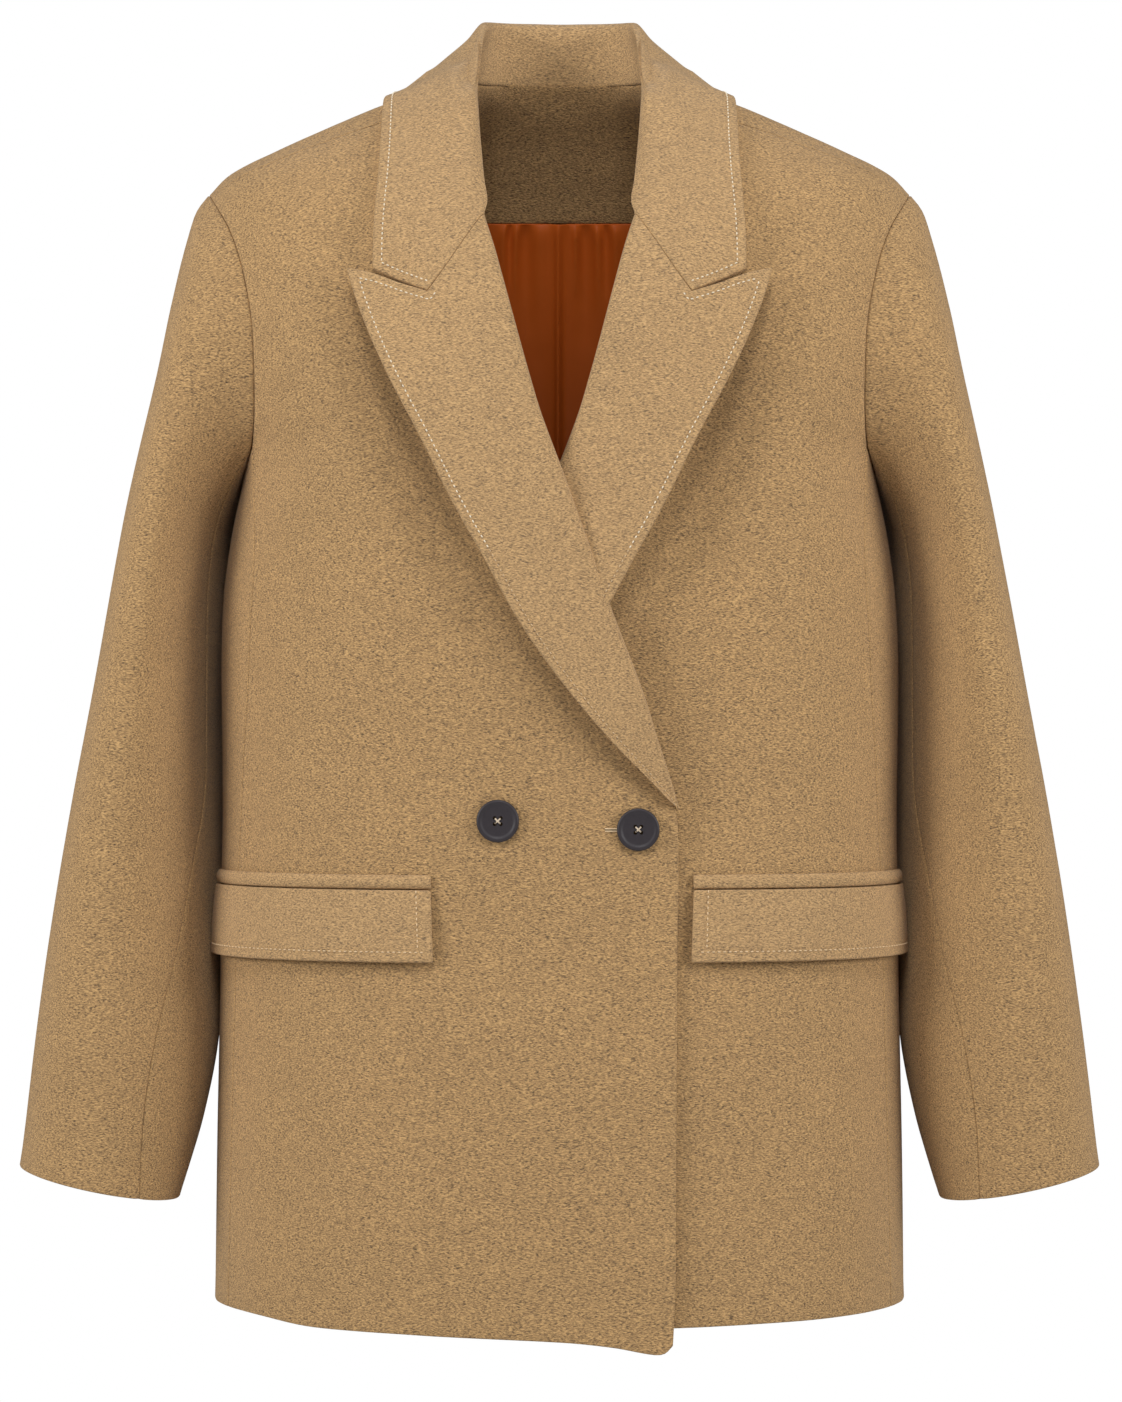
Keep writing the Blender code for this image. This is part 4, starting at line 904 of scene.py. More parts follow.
def add_tube(verts, faces, path, radius):
    """A round tube along a path."""
    rings = []
    for point, way in zip(path, unit(np.gradient(path, axis=0))):
        up = np.array([0.0, 0.0, 1.0]) if abs(way[2]) < UPRIGHT else np.array([0.0, 1.0, 0.0])
        side = unit(np.cross(way, up))
        top = np.cross(side, way)
        rings.append([point + radius * (math.cos(t) * side + math.sin(t) * top) for t in TUBE_TURNS])
    tube(verts, faces, rings)


# Buttons --------------------------------------------------------------------------------------


def turned_button(name, x, z):
    """A four-hole button: turned body, cut holes, thread and knot."""
    base = body_point(angle_at(x, z), z)
    out = outward(base)
    seat = Matrix.Translation(Vector(base + out * BUTTON_SEAT)) @ Vector(out).to_track_quat(
        "Z", "Y").to_matrix().to_4x4()
    shape = bmesh.new()
    rings = []
    for radius, height in BUTTON_TURNED:
        count = 1 if radius == 0 else BUTTON_FACETS
        rings.append([
            shape.verts.new((radius * math.cos(a), radius * math.sin(a), height))
            for a in (2 * math.pi * k / count for k in range(count))
        ])
    for here, after in zip(rings[:-1], rings[1:]):
        for k in range(BUTTON_FACETS):
            n = (k + 1) % BUTTON_FACETS
            near = [ring[j % len(ring)] for ring, j in ((here, k), (here, n), (after, n), (after, k))]
            shape.faces.new(list(dict.fromkeys(near)))
    bmesh.ops.recalc_face_normals(shape, faces=shape.faces)
    mesh = bpy.data.meshes.new(name + "_turned")
    shape.to_mesh(mesh)
    shape.free()
    made = linked(name + "_turned", mesh)
    for way in hole_ways():
        place = (HOLE_OUT * way[0], HOLE_OUT * way[1], HOLE_MIDDLE)
        bpy.ops.mesh.primitive_cylinder_add(
            vertices=HOLE_FACETS, radius=HOLE_RADIUS, depth=HOLE_DEPTH, location=place)
        cutter = bpy.context.object
        cut = made.modifiers.new("hole", "BOOLEAN")
        cut.object = cutter
        cut.solver = "EXACT"
        bpy.context.view_layer.objects.active = made
        bpy.ops.object.modifier_apply(modifier=cut.name)
        bpy.data.objects.remove(cutter)
    mesh = made.data
    mesh.transform(seat)
    mesh.shade_smooth()
    mesh.set_sharp_from_angle(angle=math.radians(BUTTON_SHARP))
    mesh.materials.append(finish("button"))
    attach(made, "root")
    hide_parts(name)
    thread(name + "_thread", seat)


def hole_ways():
    """The ways from the button's middle to its holes."""
    turns = [math.radians(HOLE_TURN + 360 / HOLES * k) for k in range(HOLES)]
    return [np.array([math.cos(turn), math.sin(turn), 0.0]) for turn in turns]


def thread(name, seat):
    """Thread from hole to hole across the button's middle, with a worn knot."""
    verts, faces = [], []
    for way in hole_ways():
        for aside in (-THREAD_RADIUS, THREAD_RADIUS):
            side = np.array([-way[1], way[0], 0.0]) * aside
            path = [way * HOLE_OUT * far + side * wide + [0, 0, up] for far, wide, up in THREAD_PATH]
            add_tube(verts, faces, np.array(path), THREAD_RADIUS)
    turns = np.linspace(0, KNOT_TURNS, KNOT_STEPS)
    knot = [KNOT[0] * np.cos(turns), KNOT[1] * np.sin(turns),
            THREAD_PATH[-1][2] + KNOT[2] * np.sin(KNOT_RISE * turns)]
    add_tube(verts, faces, np.stack(knot, axis=-1), KNOT_RADIUS)
    new_piece(closed_mesh(name, [seat @ Vector(v) for v in verts], faces), "thread")


def buttonhole(name):
    """The end of the buttonhole that shows beside its button: two corded edges, with a dark tube of
    painted shadow in the cut between them.
    """
    across = mix(*SLIT_ENDS, fraction(SLIT_STEPS))
    for label, drop, lift, radius, slot in SLIT_PARTS:
        heights = np.full(len(across), SLIT_HEIGHT + drop)
        base, out = front_points(np.stack([across, heights], axis=-1), -1.0)
        verts, faces = [], []
        add_tube(verts, faces, base + out * lift, radius)
        new_piece(closed_mesh(name + label, verts, faces), slot)


# Materials ------------------------------------------------------------------------------------


def node(tree, kind, **values):
    """One shader node. Each value is a setting of the node's own, a value for the input of that
    name, or a socket that feeds it. An input may also be told by its number, as at_0."""
    made = tree.nodes.new("ShaderNode" + kind)
    for name, value in values.items():
        if hasattr(made, name):
            setattr(made, name, value)
            continue
        given = made.inputs[int(name[3:]) if name.startswith("at_") else name.replace("_", " ")]
        if isinstance(value, bpy.types.NodeSocket):
            tree.links.new(value, given)
        else:
            given.default_value = value
    return made


def heathered_cloth(tree, given):
    """Wool with a brushed nap: short fibres that lie in drifting directions, in three colours."""
    place = node(tree, "TexCoord").outputs["Object"]
    drift = node(tree, "TexNoise", Vector=place, Scale=DRIFT_SCALE, Detail=1.0)
    push = node(tree, "VectorMath", operation="SCALE", at_0=drift.outputs["Color"], Scale=DRIFT)
    moved = node(tree, "VectorMath", operation="ADD", at_0=place, at_1=push.outputs[0]).outputs[0]
    masks = []
    for turn, along, across in FIBRES:
        laid = node(tree, "Mapping", Vector=moved, Rotation=(0, math.radians(turn), 0),
                    Scale=(along, across, across)).outputs[0]
        fibres = node(tree, "TexNoise", Vector=laid, Scale=1.0, Detail=2.0, Roughness=0.6)
        mask = node(tree, "MapRange", Value=fibres.outputs["Fac"], **FIBRE_BOUNDS)
        masks.append(mask.outputs["Result"])
    dark = laid_over(tree, masks[0], given["Ground"], given["Dark fibre"])
    light = laid_over(tree, masks[1], dark, given["Light fibre"])
    cloud = node(tree, "TexNoise", Vector=place, Scale=CLOUD_SCALE, Detail=2.0)
    worn = shaded(tree, light, cloud, WOOL_SHADES)
    height = node(tree, "Math", operation="SUBTRACT", at_0=masks[1], at_1=masks[0])
    bump = node(tree, "Bump", Strength=NAP_STRENGTH, Distance=given["Nap height"],
                Height=height.outputs[0])
    return worn, bump.outputs[0]


def woven_satin(tree, given):
    """Smooth lining with fine threads, a slow unevenness, and painted shade darker down inside the
    coat.
    """
    place = node(tree, "TexCoord")
    threads = node(tree, "TexWave", Vector=place.outputs["UV"], Scale=SATIN_THREADS, Distortion=0.6,
                   Detail=1.0)
    cloud = node(tree, "TexNoise", Vector=place.outputs["UV"], Scale=SATIN_CLOUD, Detail=2.0)
    height = node(tree, "SeparateXYZ", Vector=place.outputs["Object"]).outputs["Z"]
    # Painted shade: the lining's colour darkens towards its foot, for the shadow down inside the coat.
    top, foot, dark = PAINTED_LINING_SHADE
    depth = node(tree, "MapRange", Value=height, From_Min=foot, From_Max=top, To_Min=dark, To_Max=1.0)
    tone = shaded(tree, given["Cloth"], cloud, SATIN_SHADES, depth.outputs["Result"])
    bump = node(tree, "Bump", Strength=SATIN_STRENGTH, Distance=given["Thread height"],
                Height=threads.outputs["Fac"])
    return tone, bump.outputs[0]


def moulded_resin(tree, given):
    """One colour with a faint mottle and fine pits."""
    place = node(tree, "TexCoord").outputs["Object"]
    cloud = node(tree, "TexNoise", Vector=place, Scale=RESIN_CLOUD, Detail=3.0)
    pits = node(tree, "TexNoise", Vector=place, Scale=RESIN_PITS, Detail=1.0)
    bump = node(tree, "Bump", Strength=PIT_STRENGTH, Distance=PIT_DEPTH, Height=pits.outputs["Fac"])
    return shaded(tree, given["Resin"], cloud, RESIN_SHADES), bump.outputs[0]


def laid_over(tree, mask, ground, colour):
    """One colour over another by a mask. This node has its colours at 6 and 7, and puts out at 2."""
    return node(tree, "Mix", data_type="RGBA", Factor=mask, at_6=ground, at_7=colour).outputs[2]


def shaded(tree, colour, cloud, shades, also=None):
    """A colour made slowly lighter and darker by a noise, between two shares of itself."""
    shade = node(tree, "MapRange", Value=cloud.outputs["Fac"], To_Min=shades[0], To_Max=shades[1])
    share = shade.outputs["Result"]
    # also: a further share, which for the lining is its painted shade
    if also:
        share = node(tree, "Math", operation="MULTIPLY", at_0=share, at_1=also).outputs[0]
    return node(tree, "VectorMath", operation="SCALE", at_0=colour, Scale=share).outputs[0]


RECIPES = {
    "heathered cloth": heathered_cloth,
    "woven satin": woven_satin,
    "moulded resin": moulded_resin,
}


def recipe_group(name, given):
    """A recipe's shared node group, made once: colours and sizes in, a colour and a normal out."""
    found = bpy.data.node_groups.get(name)
    if found:
        return found
    group = bpy.data.node_groups.new(name, "ShaderNodeTree")
    for label, value in given.items():
        kind = "NodeSocketFloat" if isinstance(value, float) else "NodeSocketColor"
        group.interface.new_socket(label, in_out="INPUT", socket_type=kind)
    for label, kind in (("Color", "NodeSocketColor"), ("Normal", "NodeSocketVector")):
        group.interface.new_socket(label, in_out="OUTPUT", socket_type=kind)
    inputs = group.nodes.new("NodeGroupInput").outputs
    result = group.nodes.new("NodeGroupOutput")
    for value, socket in zip(RECIPES[name](group, inputs), result.inputs):
        group.links.new(value, socket)
    return group


def finish(slot):
    """The material of a slot, made once."""
    label = "coat " + slot.replace("_", " ")
    found = bpy.data.materials.get(label)
    if found:
        return found
    made = bpy.data.materials.new(label)
    made.use_nodes = True
    tree = made.node_tree
    shader = tree.nodes["Principled BSDF"]
    recipe, given, settings = FINISHES[slot]
    cloth = node(tree, "Group", node_tree=recipe_group(recipe, given), **{
        name.replace(" ", "_"): value for name, value in given.items()})
    tree.links.new(cloth.outputs["Color"], shader.inputs["Base Color"])
    tree.links.new(cloth.outputs["Normal"], shader.inputs["Normal"])
    for name, value in settings.items():
        shader.inputs[name].default_value = value
    return made


# The photographer's studio --------------------------------------------------------------------


def camera():
    data = bpy.data.cameras.new("camera")
    made = linked("camera", data)
    made.location = CAMERA_PLACE
    made.rotation_euler = (math.pi / 2, 0, 0)
    data.sensor_fit = "HORIZONTAL"
    data.sensor_width = SENSOR
    data.lens = CAMERA_LENS
    data.clip_end = CAMERA_SEES_TO
    bpy.context.scene.camera = made


def soft_light(name, place, aim, size, power):
    data = bpy.data.lights.new(name, "AREA")
    data.shape = "DISK"
    data.size = size
    data.energy = power
    made = linked(name, data)
    made.location = place
    made.rotation_euler = (Vector(aim) - Vector(place)).to_track_quat("-Z", "Y").to_euler()


def studio():
    for row in LIGHTS:
        soft_light(*row)
    world = bpy.data.worlds.new("white surround")
    bpy.context.scene.world = world
    world.use_nodes = True
    tree = world.node_tree
    lit = tree.nodes["Background"]
    lit.inputs["Color"].default_value = (1, 1, 1, 1)
    lit.inputs["Strength"].default_value = SURROUND
    seen = node(tree, "Background", Color=(1, 1, 1, 1), Strength=1.0)
    path = node(tree, "LightPath")
    chosen = node(tree, "MixShader", at_0=path.outputs["Is Camera Ray"], at_1=lit.outputs[0],
                  at_2=seen.outputs[0])
    tree.links.new(chosen.outputs[0], tree.nodes["World Output"].inputs["Surface"])
    bpy.context.scene.view_settings.view_transform = "Standard"
    bpy.ops.mesh.primitive_plane_add(size=FLOOR_SIZE, location=(0, 0, FLOOR_HEIGHT))
    floor = bpy.context.object
    floor.name = "studio_floor"
    pale = bpy.data.materials.new("pale floor")
    pale.use_nodes = True
    pale.node_tree.nodes["Principled BSDF"].inputs["Base Color"].default_value = FLOOR_COLOUR
    floor.data.materials.append(pale)


# Lines that neighbouring pieces share ---------------------------------------------------------


def armhole_angles():
    """Angles round the armhole, from its front seam over the top and back under the arm."""
    front, shoulder, back = (
        math.degrees(math.acos((height - ARMHOLE_MIDDLE) / ARMHOLE_REACH))
        for height in (FRONT_SEAM_TOP, SHOULDER_SEAM_END, BACK_SEAM_TOP)
    )
    return np.concatenate(
        [
            mix(front, shoulder, fraction(ARMHOLE_FRONT_STEPS)),
            mix(shoulder, -back, fraction(ARMHOLE_BACK_STEPS))[1:],
            mix(-back, front - 360, fraction(ARMHOLE_SIDE_STEPS))[1:],
        ]
    )


def armhole_domain(turn):
    """The armhole's edge on the body, as (angle, height), at angles round the armhole."""
    height = ARMHOLE_MIDDLE + ARMHOLE_REACH * np.cos(np.radians(turn))
    front = angle_at(read(ARMHOLE, "front", height), height)
    back = angle_at(read(ARMHOLE, "back", height), height, back=True)
    return np.stack([np.where(np.sin(np.radians(turn)) > 0, front, back), height], axis=-1)


def side_seam(which, top):
    """One side panel seam from the armhole to the hem, as (angle, height)."""
    height = mix(top, HEM, fraction(SIDE_STEPS))
    out = read(SIDE_SEAMS, which, height) * read(BODY, "half_width", height)
    line = np.stack([angle_at(out, height, back=which == "back"), height], axis=-1)
    start = armhole_domain(armhole_angles())
    fade = np.clip(1 - fraction(SIDE_STEPS) * SEAM_JOINS_BY, 0.0, 1.0)[:, None]
    joint = start[0] if which == "front" else start[ARMHOLE_FRONT_STEPS + ARMHOLE_BACK_STEPS]
    return line + (joint - line[0]) * fade


def on_front(columns, steps):
    """A line seen from the front, as (angle, height)."""
    line = traced(columns, steps)
    return np.stack([angle_at(line[:, 0], line[:, 1]), line[:, 1]], axis=-1)


def shoulder_seam():
    """From the neck point to the armhole."""
    domain = on_front(SHOULDER, SHOULDER_COLUMNS)
    domain[0] = (NECK_POINT, read(NECK, "height", NECK_POINT, key="angle"))
    domain[-1] = armhole_domain(armhole_angles())[ARMHOLE_FRONT_STEPS]
    return domain


def neck_edge(start, end, steps):
    angle = mix(start, end, fraction(steps))
    return np.stack([angle, read(NECK, "height", angle, key="angle")], axis=-1)


def panels_neck_points(angle):
    """Points of the panels' own neck edge, with its flat stretches between corners."""
    front_half = neck_edge(GORGE_POINT, NECK_POINT, FRONT_NECK_COLUMNS)
    back_half = neck_edge(NECK_POINT, 180.0, BACK_NECK_COLUMNS // 2)
    corners = np.concatenate([front_half, back_half[1:]])
    return straight_between(angle, corners[:, 0], on_body(corners))


def set_in(points):
    """How far the under front lies behind the body's face."""
    return read(SET_IN, "depth", points[..., 2]) * (1 - eased(*SET_IN_FADES, points[..., 0]))


def front_points(seen, side):
    """Points of one front's outer face, and the way out of it, from (out, height)."""
    base = body_point(angle_at(seen[..., 0], seen[..., 1]), seen[..., 1])
    out = outward(base)
    if side > 0:
        base = base - out * set_in(base)[..., None]
    return base, out


# Pieces ---------------------------------------------------------------------------------------


def front(name, side):
    """One front: shoulder seam and neck edge on top, roll and front edge, hem, seam and armhole."""
    over = side < 0
    top = np.concatenate(
        [neck_edge(GORGE_POINT, NECK_POINT, FRONT_NECK_COLUMNS)[:-1], shoulder_seam()]
    )
    armhole = armhole_domain(armhole_angles()[: ARMHOLE_FRONT_STEPS + 1])[::-1]
    outer_edge = np.concatenate([armhole, side_seam("front", FRONT_SEAM_TOP)[1:]])
    edge_steps = len(outer_edge) - 1 - ROLL_STEPS
    inner_edge = np.concatenate([on_front(ROLL, ROLL_STEPS), on_front(FRONT_EDGE, edge_steps)[1:]])
    if not over:
        drawn = eased(UNDER_EDGE_RISE_FROM, FRONT_EDGE["height"][-1], inner_edge[:, 1])
        inner_edge[:, 1] += UNDER_EDGE_RISE * drawn
    last = angle_at(FRONT_HEM["out"][0], HEM)
    angles = mix(last, outer_edge[-1, 0], fraction(len(top) - 2) ** FRONT_HEM_SPREAD)
    out = body_point(angles, HEM)[:, 0]
    heights = read(FRONT_HEM, "over" if over else "under", out, key="out")
    bottom = np.concatenate([inner_edge[-1:], np.stack([angles, heights], axis=-1)])
    domain = patch(top, bottom, inner_edge, outer_edge)
    lift = 0.0 if over else -set_in(on_body(domain))
    body_shell(name, domain, lift, side=side, seams=("top", "right"))


def side_panel(name, side):
    turns = armhole_angles()[ARMHOLE_FRONT_STEPS + ARMHOLE_BACK_STEPS :]
    top = armhole_domain(turns)[::-1]
    left = side_seam("front", FRONT_SEAM_TOP)
    right = side_seam("back", BACK_SEAM_TOP)
    bottom = mix(left[-1], right[-1], fraction(ARMHOLE_SIDE_STEPS)[:, None])
    body_shell(name, patch(top, bottom, left, right), 0.0, side=side, seams=("left", "right"))


def back(name):
    """The whole back, over the shoulders to the seams in front of them."""
    neck = neck_edge(NECK_POINT, 180.0, BACK_NECK_COLUMNS // 2)
    first = ARMHOLE_FRONT_STEPS
    armhole = armhole_domain(armhole_angles()[first : first + ARMHOLE_BACK_STEPS + 1])
    left = np.concatenate([armhole, side_seam("back", BACK_SEAM_TOP)[1:]])
    half_top = np.concatenate([shoulder_seam()[::-1], neck[1:]])
    flip = np.array([-1.0, 1.0])
    turn = np.array([360.0, 0.0])
    top = np.concatenate([half_top, (turn + half_top * flip)[-2::-1]])
    bottom = mix(left[-1], turn + left[-1] * flip, fraction(len(top) - 1)[:, None])
    domain = patch(top, bottom, left, turn + left * flip, BACK_FADE)
    body_shell(name, domain, 0.0, seams=("top", "left", "right"))


def lapel_faces(side):
    """The lapel's outer and inner faces, from its lip round the roll to its outer edge."""
    roll = traced(ROLL, LAPEL_STEPS)
    edge = traced(LAPEL_EDGE, LAPEL_STEPS)
    top = np.concatenate([seen_line(GORGE), seen_line(LAPEL_TOP)])
    across = fraction(len(top) - 1)
    seen = patch(top, mix(roll[-1], edge[-1], across[:, None]), roll, edge)
    base, out = front_points(seen, side)
    along = fraction(LAPEL_STEPS)[:, None]
    full = mix(1.0, LAPEL_TAPER, eased(LAPEL_TAPERS_FROM, 1.0, along))
    belly = LAPEL_BELLY * np.sin(np.pi * across) * (1 - eased(*LAPEL_BELLY_FADES, along))
    rise = LAPEL_STANDS_OFF * mix(STANDS_OFF_AT_TOP, 1.0, eased(0.0, STANDS_OFF_FROM, along))
    if side > 0:
        rise = rise * eased(*COVERED_BY_THE_RIGHT, seen[..., 1])
    lift = (LAPEL_LIFT + rise * across + belly) * full
    past = unit(base[:, 0] - base[:, 1])
    sheets = []
    for which, height in (("outer", lift + TURNED * full), ("inner", lift)):
        lip = [
            base[:, 0] + past * further + out[:, 0] * higher * (full if higher > 0 else 1.0)
            for further, higher in zip(LIP[which + "_past"], LIP[which + "_lift"])
        ]
        sheets.append(np.concatenate([np.stack(lip, axis=1), base + out * height[..., None]], axis=1))
    return sheets


def lapel(name, side):
    outer, inner = (mirrored(sheet, side) for sheet in lapel_faces(side))

    def stitch_lines(face):
        return [inset_line(face, "right", ends=("top",)), notch_line(face, "top", LAPEL_NOTCH_OUT),
                notch_turn(side)]

    lines, face, normals = pressed_shell(name, outer, inner, LAPEL_SPACINGS, stitch_lines, ("top",),
                                         GORGE_CORNER, fades_by=SHARP_RELIEF_FADES_BY)
    high = lines[0][:, 2] >= PICK_SINKS_BELOW
    stitches(name + "_stitching", [lines[0][high]] + lines[1:], face, normals)
    stitches(name + "_lower_stitching", [lines[0][~high]], face, normals, "sunk_thread")


def collar_half():
    """Rows of the collar's face from the centre back to the gorge, columns from the neck seam
    up the stand, over the fold and down to the outer edge."""
    station = fraction(COLLAR_STEPS)
    at = {name: read(COLLAR, name, station, key="station") for name in COLLAR}
    fold, edge = (
        np.stack([at[line + axis] for axis in ("_x", "_y", "_z")], axis=-1) for line in ("fold", "edge")
    )
    lying = station > FOLD_LIES_FROM
    fold[lying] = kept_off(fold[lying], TURNED + COLLAR_CLEAR)
    edge = seated(edge, np.full(len(station), TURNED + COLLAR_CLEAR))
    seam = panels_neck_points(at["neck_angle"])
    out = outward(seam)
    past = unit(np.cross(np.gradient(seam, axis=0), out))
    if np.sum(past * (fold - seam)) < 0:
        past = -past
    neck, neck_under = (
        seam + past * (LIP[which + "_past"][0] + STAND_CLEAR) + out * LIP[which + "_lift"][0]
        for which in ("outer", "inner")
    )
    rise = unit(fold - neck)
    level = edge - fold
    level = unit(level - rise * np.sum(level * rise, axis=-1, keepdims=True))
    stand_top = fold - (rise + level) * FOLD_RADIUS
    fall_top = fold - (rise - level) * FOLD_RADIUS
    columns = [neck, mix(neck, stand_top, STAND_ROW), stand_top, fold]
    lip = len(LIP["outer_past"])
    foot_base, foot_out = front_points(seen_line(COLLAR_FOOT), -1.0)
    ends = [
        np.concatenate([sheet[0, : lip + len(GORGE["out"])], foot_base + foot_out * lift])
        for sheet, lift in zip(lapel_faces(1.0), (TURNED + COLLAR_CLEAR, COLLAR_CLEAR))
    ]
    end = ends[0][lip + 1 :]
    start = mix(fall_top[0], edge[0], FALL_ROWS[:, None])
    pull = station[:, None] ** COLLAR_PULL
    for k, v in enumerate(FALL_ROWS):
        straight = mix(fall_top, edge, v)
        fall = straight + (start[k] - straight[0]) * (1 - pull) + (end[k] - straight[-1]) * pull
        swell = at["bulge"] * math.sin(math.pi * v)
        fall = fall + outward(fall) * swell[:, None]
        columns.append(kept_off_panels(fall, TURNED + COLLAR_CLEAR))
    grid = np.stack(columns, axis=1)
    grid[-1] = ends[0]
    return grid, neck_under, ends[1]


def collar(name):
    """The whole collar: its seen face, and under it the other one, which meets the neck edge
    and the lapels with the form they have."""
    half, neck_under, end_under = collar_half()
    grid = np.concatenate([mirrored(half, -1.0)[:0:-1], half])
    normals = grid_normals(grid)
    if normals[len(grid) // 2, -2, 1] < 0:
        normals = -normals
    inner = grid - normals * TURNED
    fold = len(LIP["outer_past"])
    lying = np.abs(np.linspace(-1.0, 1.0, len(grid))) > FOLD_LIES_FROM
    inner[lying, fold] = kept_off(inner[lying, fold], COLLAR_CLEAR)
    inner[:, fold + 1 :] = kept_off_panels(inner[:, fold + 1 :], COLLAR_CLEAR)
    inner[:, 0] = np.concatenate([mirrored(neck_under, -1.0)[:0:-1], neck_under])
    inner[-1] = end_under
    inner[0] = mirrored(end_under, -1.0)

    def stitch_lines(face):
        return [inset_line(face, "right", ends=("top", "bottom")),
                notch_line(face, "top", COLLAR_NOTCH_OUT), notch_line(face, "bottom", COLLAR_NOTCH_OUT)]

    stitches(name + "_stitching", *pressed_shell(
        name, grid, inner, COLLAR_SPACINGS, stitch_lines, ("top", "bottom"), GORGE_CORNER))


def neck_facing(name):
    """The wool facing inside the back neck, sewn in at the panels' neck edge, down to the
    lining. Its columns start at the back's own neck points and half-way between them."""
    down = fraction(FACING_ROWS)[:, None]
    heights = mix(FACING_TOP, FACING_FOOT, down)
    end = angle_at(mix(FACING_TOP_OUT, FACING_FOOT_OUT, down), heights, True)
    column = 2 * (180.0 - NECK_POINT) / BACK_NECK_COLUMNS
    end[0] = NECK_POINT + FACING_SKIPS * column
    columns = 2 * (BACK_NECK_COLUMNS - 2 * FACING_SKIPS)
    angles = mix(end, 360 - end, fraction(columns)[None])
    near = np.where(angles > 180, 360 - angles, angles)
    top = read(NECK, "height", near, key="angle")
    base = body_point(angles, mix(top, FACING_FOOT, down))
    base[0] = panels_neck_points(near[0])
    base[0, angles[0] > 180, 0] *= -1
    base[0, :, 2] += FACING_RISES
    out = outward(base)
    lift = mix(-(WOOL + SEAM), FACING_LIFT, eased(0.0, FACING_SINKS_BY, down))
    outer = base + out * lift[..., None]
    cloth_shell(name, outer, outer - out * FACING_CLOTH, "wool", ("bottom",))


def lining(name):
    """The back lining, with its centre pleat."""
    down = fraction(LINING_ROWS) ** LINING_ROW_SPREAD
    heights = mix(LINING["height"][0], LINING["height"][-1], down)
    end = angle_at(read(LINING, "out", heights), heights, True)[:, None]
    near = mix(180.0, end, fraction(LINING_HALF_COLUMNS)[None] ** LINING_COLUMN_SPREAD)
    angles = np.concatenate([near[:, ::-1], (360 - near)[:, 1:]], axis=1)
    domain = np.stack([angles, np.broadcast_to(heights[:, None], angles.shape)], axis=-1)
    lift = LINING_LIFT - PLEAT_DEPTH * np.exp(-(((angles - 180) / PLEAT_WIDTH) ** 2))
    body_shell(name, domain, lift, "lining", SATIN, seams=("top",), spacing=LINING_SPACING,
               fades_by=LINING_RELIEF_FADES_BY)


def ring_points(row, angles):
    """An ellipse between the sleeve's outer and inner lines."""
    outer = np.array([row["outer_x"], -row["forward"], row["outer_z"]])
    inner = np.array([row["inner_x"], -row["forward"], row["inner_z"]])
    turn = np.radians(angles)[:, None]
    forward = np.array([row["twist"], -row["depth"], 0.0])
    return (outer + inner) / 2 + np.cos(turn) * (outer - inner) / 2 + np.sin(turn) * forward


def sleeve_rings():
    """Outer points of all rings, and the ways in through the cloth."""
    turns = armhole_angles()
    split = ARMHOLE_FRONT_STEPS + UPPER_SLEEVE_BACK_COLUMNS
    upper_share = (turns[0] - turns[: split + 1]) / (turns[0] - turns[split])
    under_share = (turns[split] - turns[split:]) / (turns[split] - turns[-1])
    armhole = armhole_domain(turns)
    hole = on_body(armhole)
    rows = [dict(zip(SLEEVE, values)) for values in zip(*SLEEVE.values())]
    rest = hole - ring_points(rows[0], turns)
    rings = [ring_points(rows[0], turns) + rest * rows[0]["armhole_share"]]
    for row in rows[1:]:
        upper = mix(row["front_seam"], row["back_seam"], upper_share)
        under = mix(row["back_seam"], row["front_seam"] - 360, under_share)
        angles = np.concatenate([upper, under[1:]])
        rings.append(ring_points(row, angles) + rest * row["armhole_share"])
    rings = np.array(rings)
    rings[0] += np.array([ARMHOLE_GAP, 0.0, 0.0])
    closed = np.concatenate([rings[:, -2:-1], rings, rings[:, 1:2]], axis=1)
    inward = -grid_normals(closed)[:, 1:-1]
    sure = rings[SURE_RING]
    if np.sum(inward[SURE_RING, 0] * (sure[0] - sure[:-1].mean(axis=0))) > 0:
        inward = -inward
    own = np.clip(-np.cos(np.radians(turns)), 0.0, 1.0)[:, None]
    inward[0] = unit(mix(-outward(hole), inward[0], own))
    return rings, inward, split


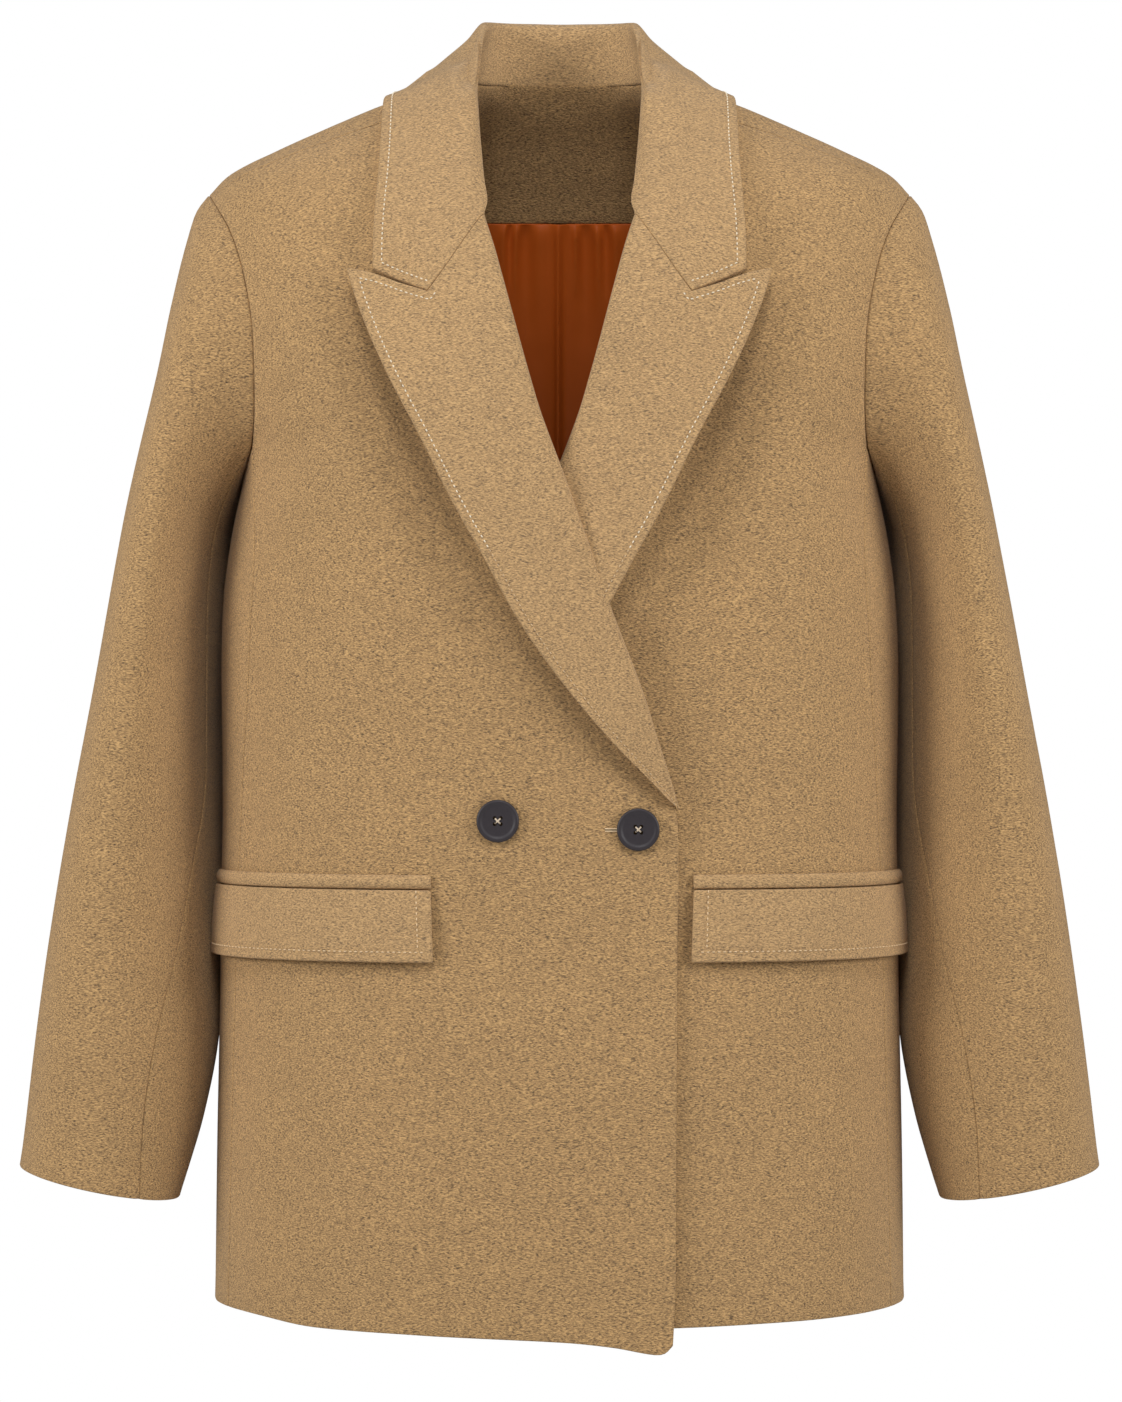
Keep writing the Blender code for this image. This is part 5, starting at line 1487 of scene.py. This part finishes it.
def sleeve(side, suffix):
    rings, inward, split = sleeve_rings()
    outer, inner = mirrored(rings, side), mirrored(rings + inward * WOOL, side)
    for name, columns in (("upper_sleeve", np.s_[:, : split + 1]), ("under_sleeve", np.s_[:, split:])):
        cloth_shell(name + suffix, outer[columns], inner[columns], "wool", ("left", "right"))


def strip_faces(columns, inner_lift, side, flare=0.0):
    """Both faces of a strip across the pocket, with a lift for each of its heights."""
    heights = columns["height"]
    start = float(angle_at(POCKET_INNER_ENDS[side], heights[0]))
    fine = mix(start, POCKET_OUTER_ANGLE, fraction(FINE_STEPS))
    run = length_along(body_point(fine, heights[0]))
    share = fraction(POCKET_COLUMNS)
    angles = np.interp(run[-1] * share, run, fine)
    down = (heights[0] - heights) / (heights[0] - heights[-1])
    domain = np.stack(np.meshgrid(angles, heights), axis=-1)
    base = on_body(domain)
    out = outward(base)
    along = unit(np.gradient(base, axis=1))
    base = base + along * (flare * down[:, None] * (2 * share - 1)[None])[..., None]
    if side > 0:
        base = base - out * set_in(base)[..., None]
    lifts = columns["outer_lift"], inner_lift
    return [mirrored(base + out * lift[:, None, None], side) for lift in lifts]


def pocket(side, end):
    """The jet over the pocket and the flap below it, which is stitched along two edges."""
    def stitch_lines(face):
        return [inset_line(face, "left", FLAP_INSET, ("bottom",)),
                inset_line(face, "bottom", ends=("left", "right"))]

    jet = strip_faces(JET, JET["inner_lift"], side)
    cloth_shell("pocket_jet" + end, *jet, "pressed_wool", spacing=POCKET_SPACINGS[1],
                fades_by=SHARP_RELIEF_FADES_BY)
    name = "pocket_flap" + end
    flap = strip_faces(FLAP, FLAP["outer_lift"] - FLAP_CLOTH, side, FLAP_END_FLARE)
    stitched = pressed_shell(name, *flap, POCKET_SPACINGS, stitch_lines, fades_by=SHARP_RELIEF_FADES_BY)
    stitches(name + "_stitching", *stitched, "flap_thread")


def coat():
    for side, end in SIDES:
        front("front" + end, side)
        side_panel("side_panel" + end, side)
        lapel("lapel" + end, side)
        sleeve(side, end)
        pocket(side, end)
        turned_button("button" + end, *BUTTON_PLACES["button" + end])
    back("back")
    collar("collar")
    neck_facing("back_neck_facing")
    lining("lining")
    buttonhole("buttonhole")


camera()
studio()
coat()
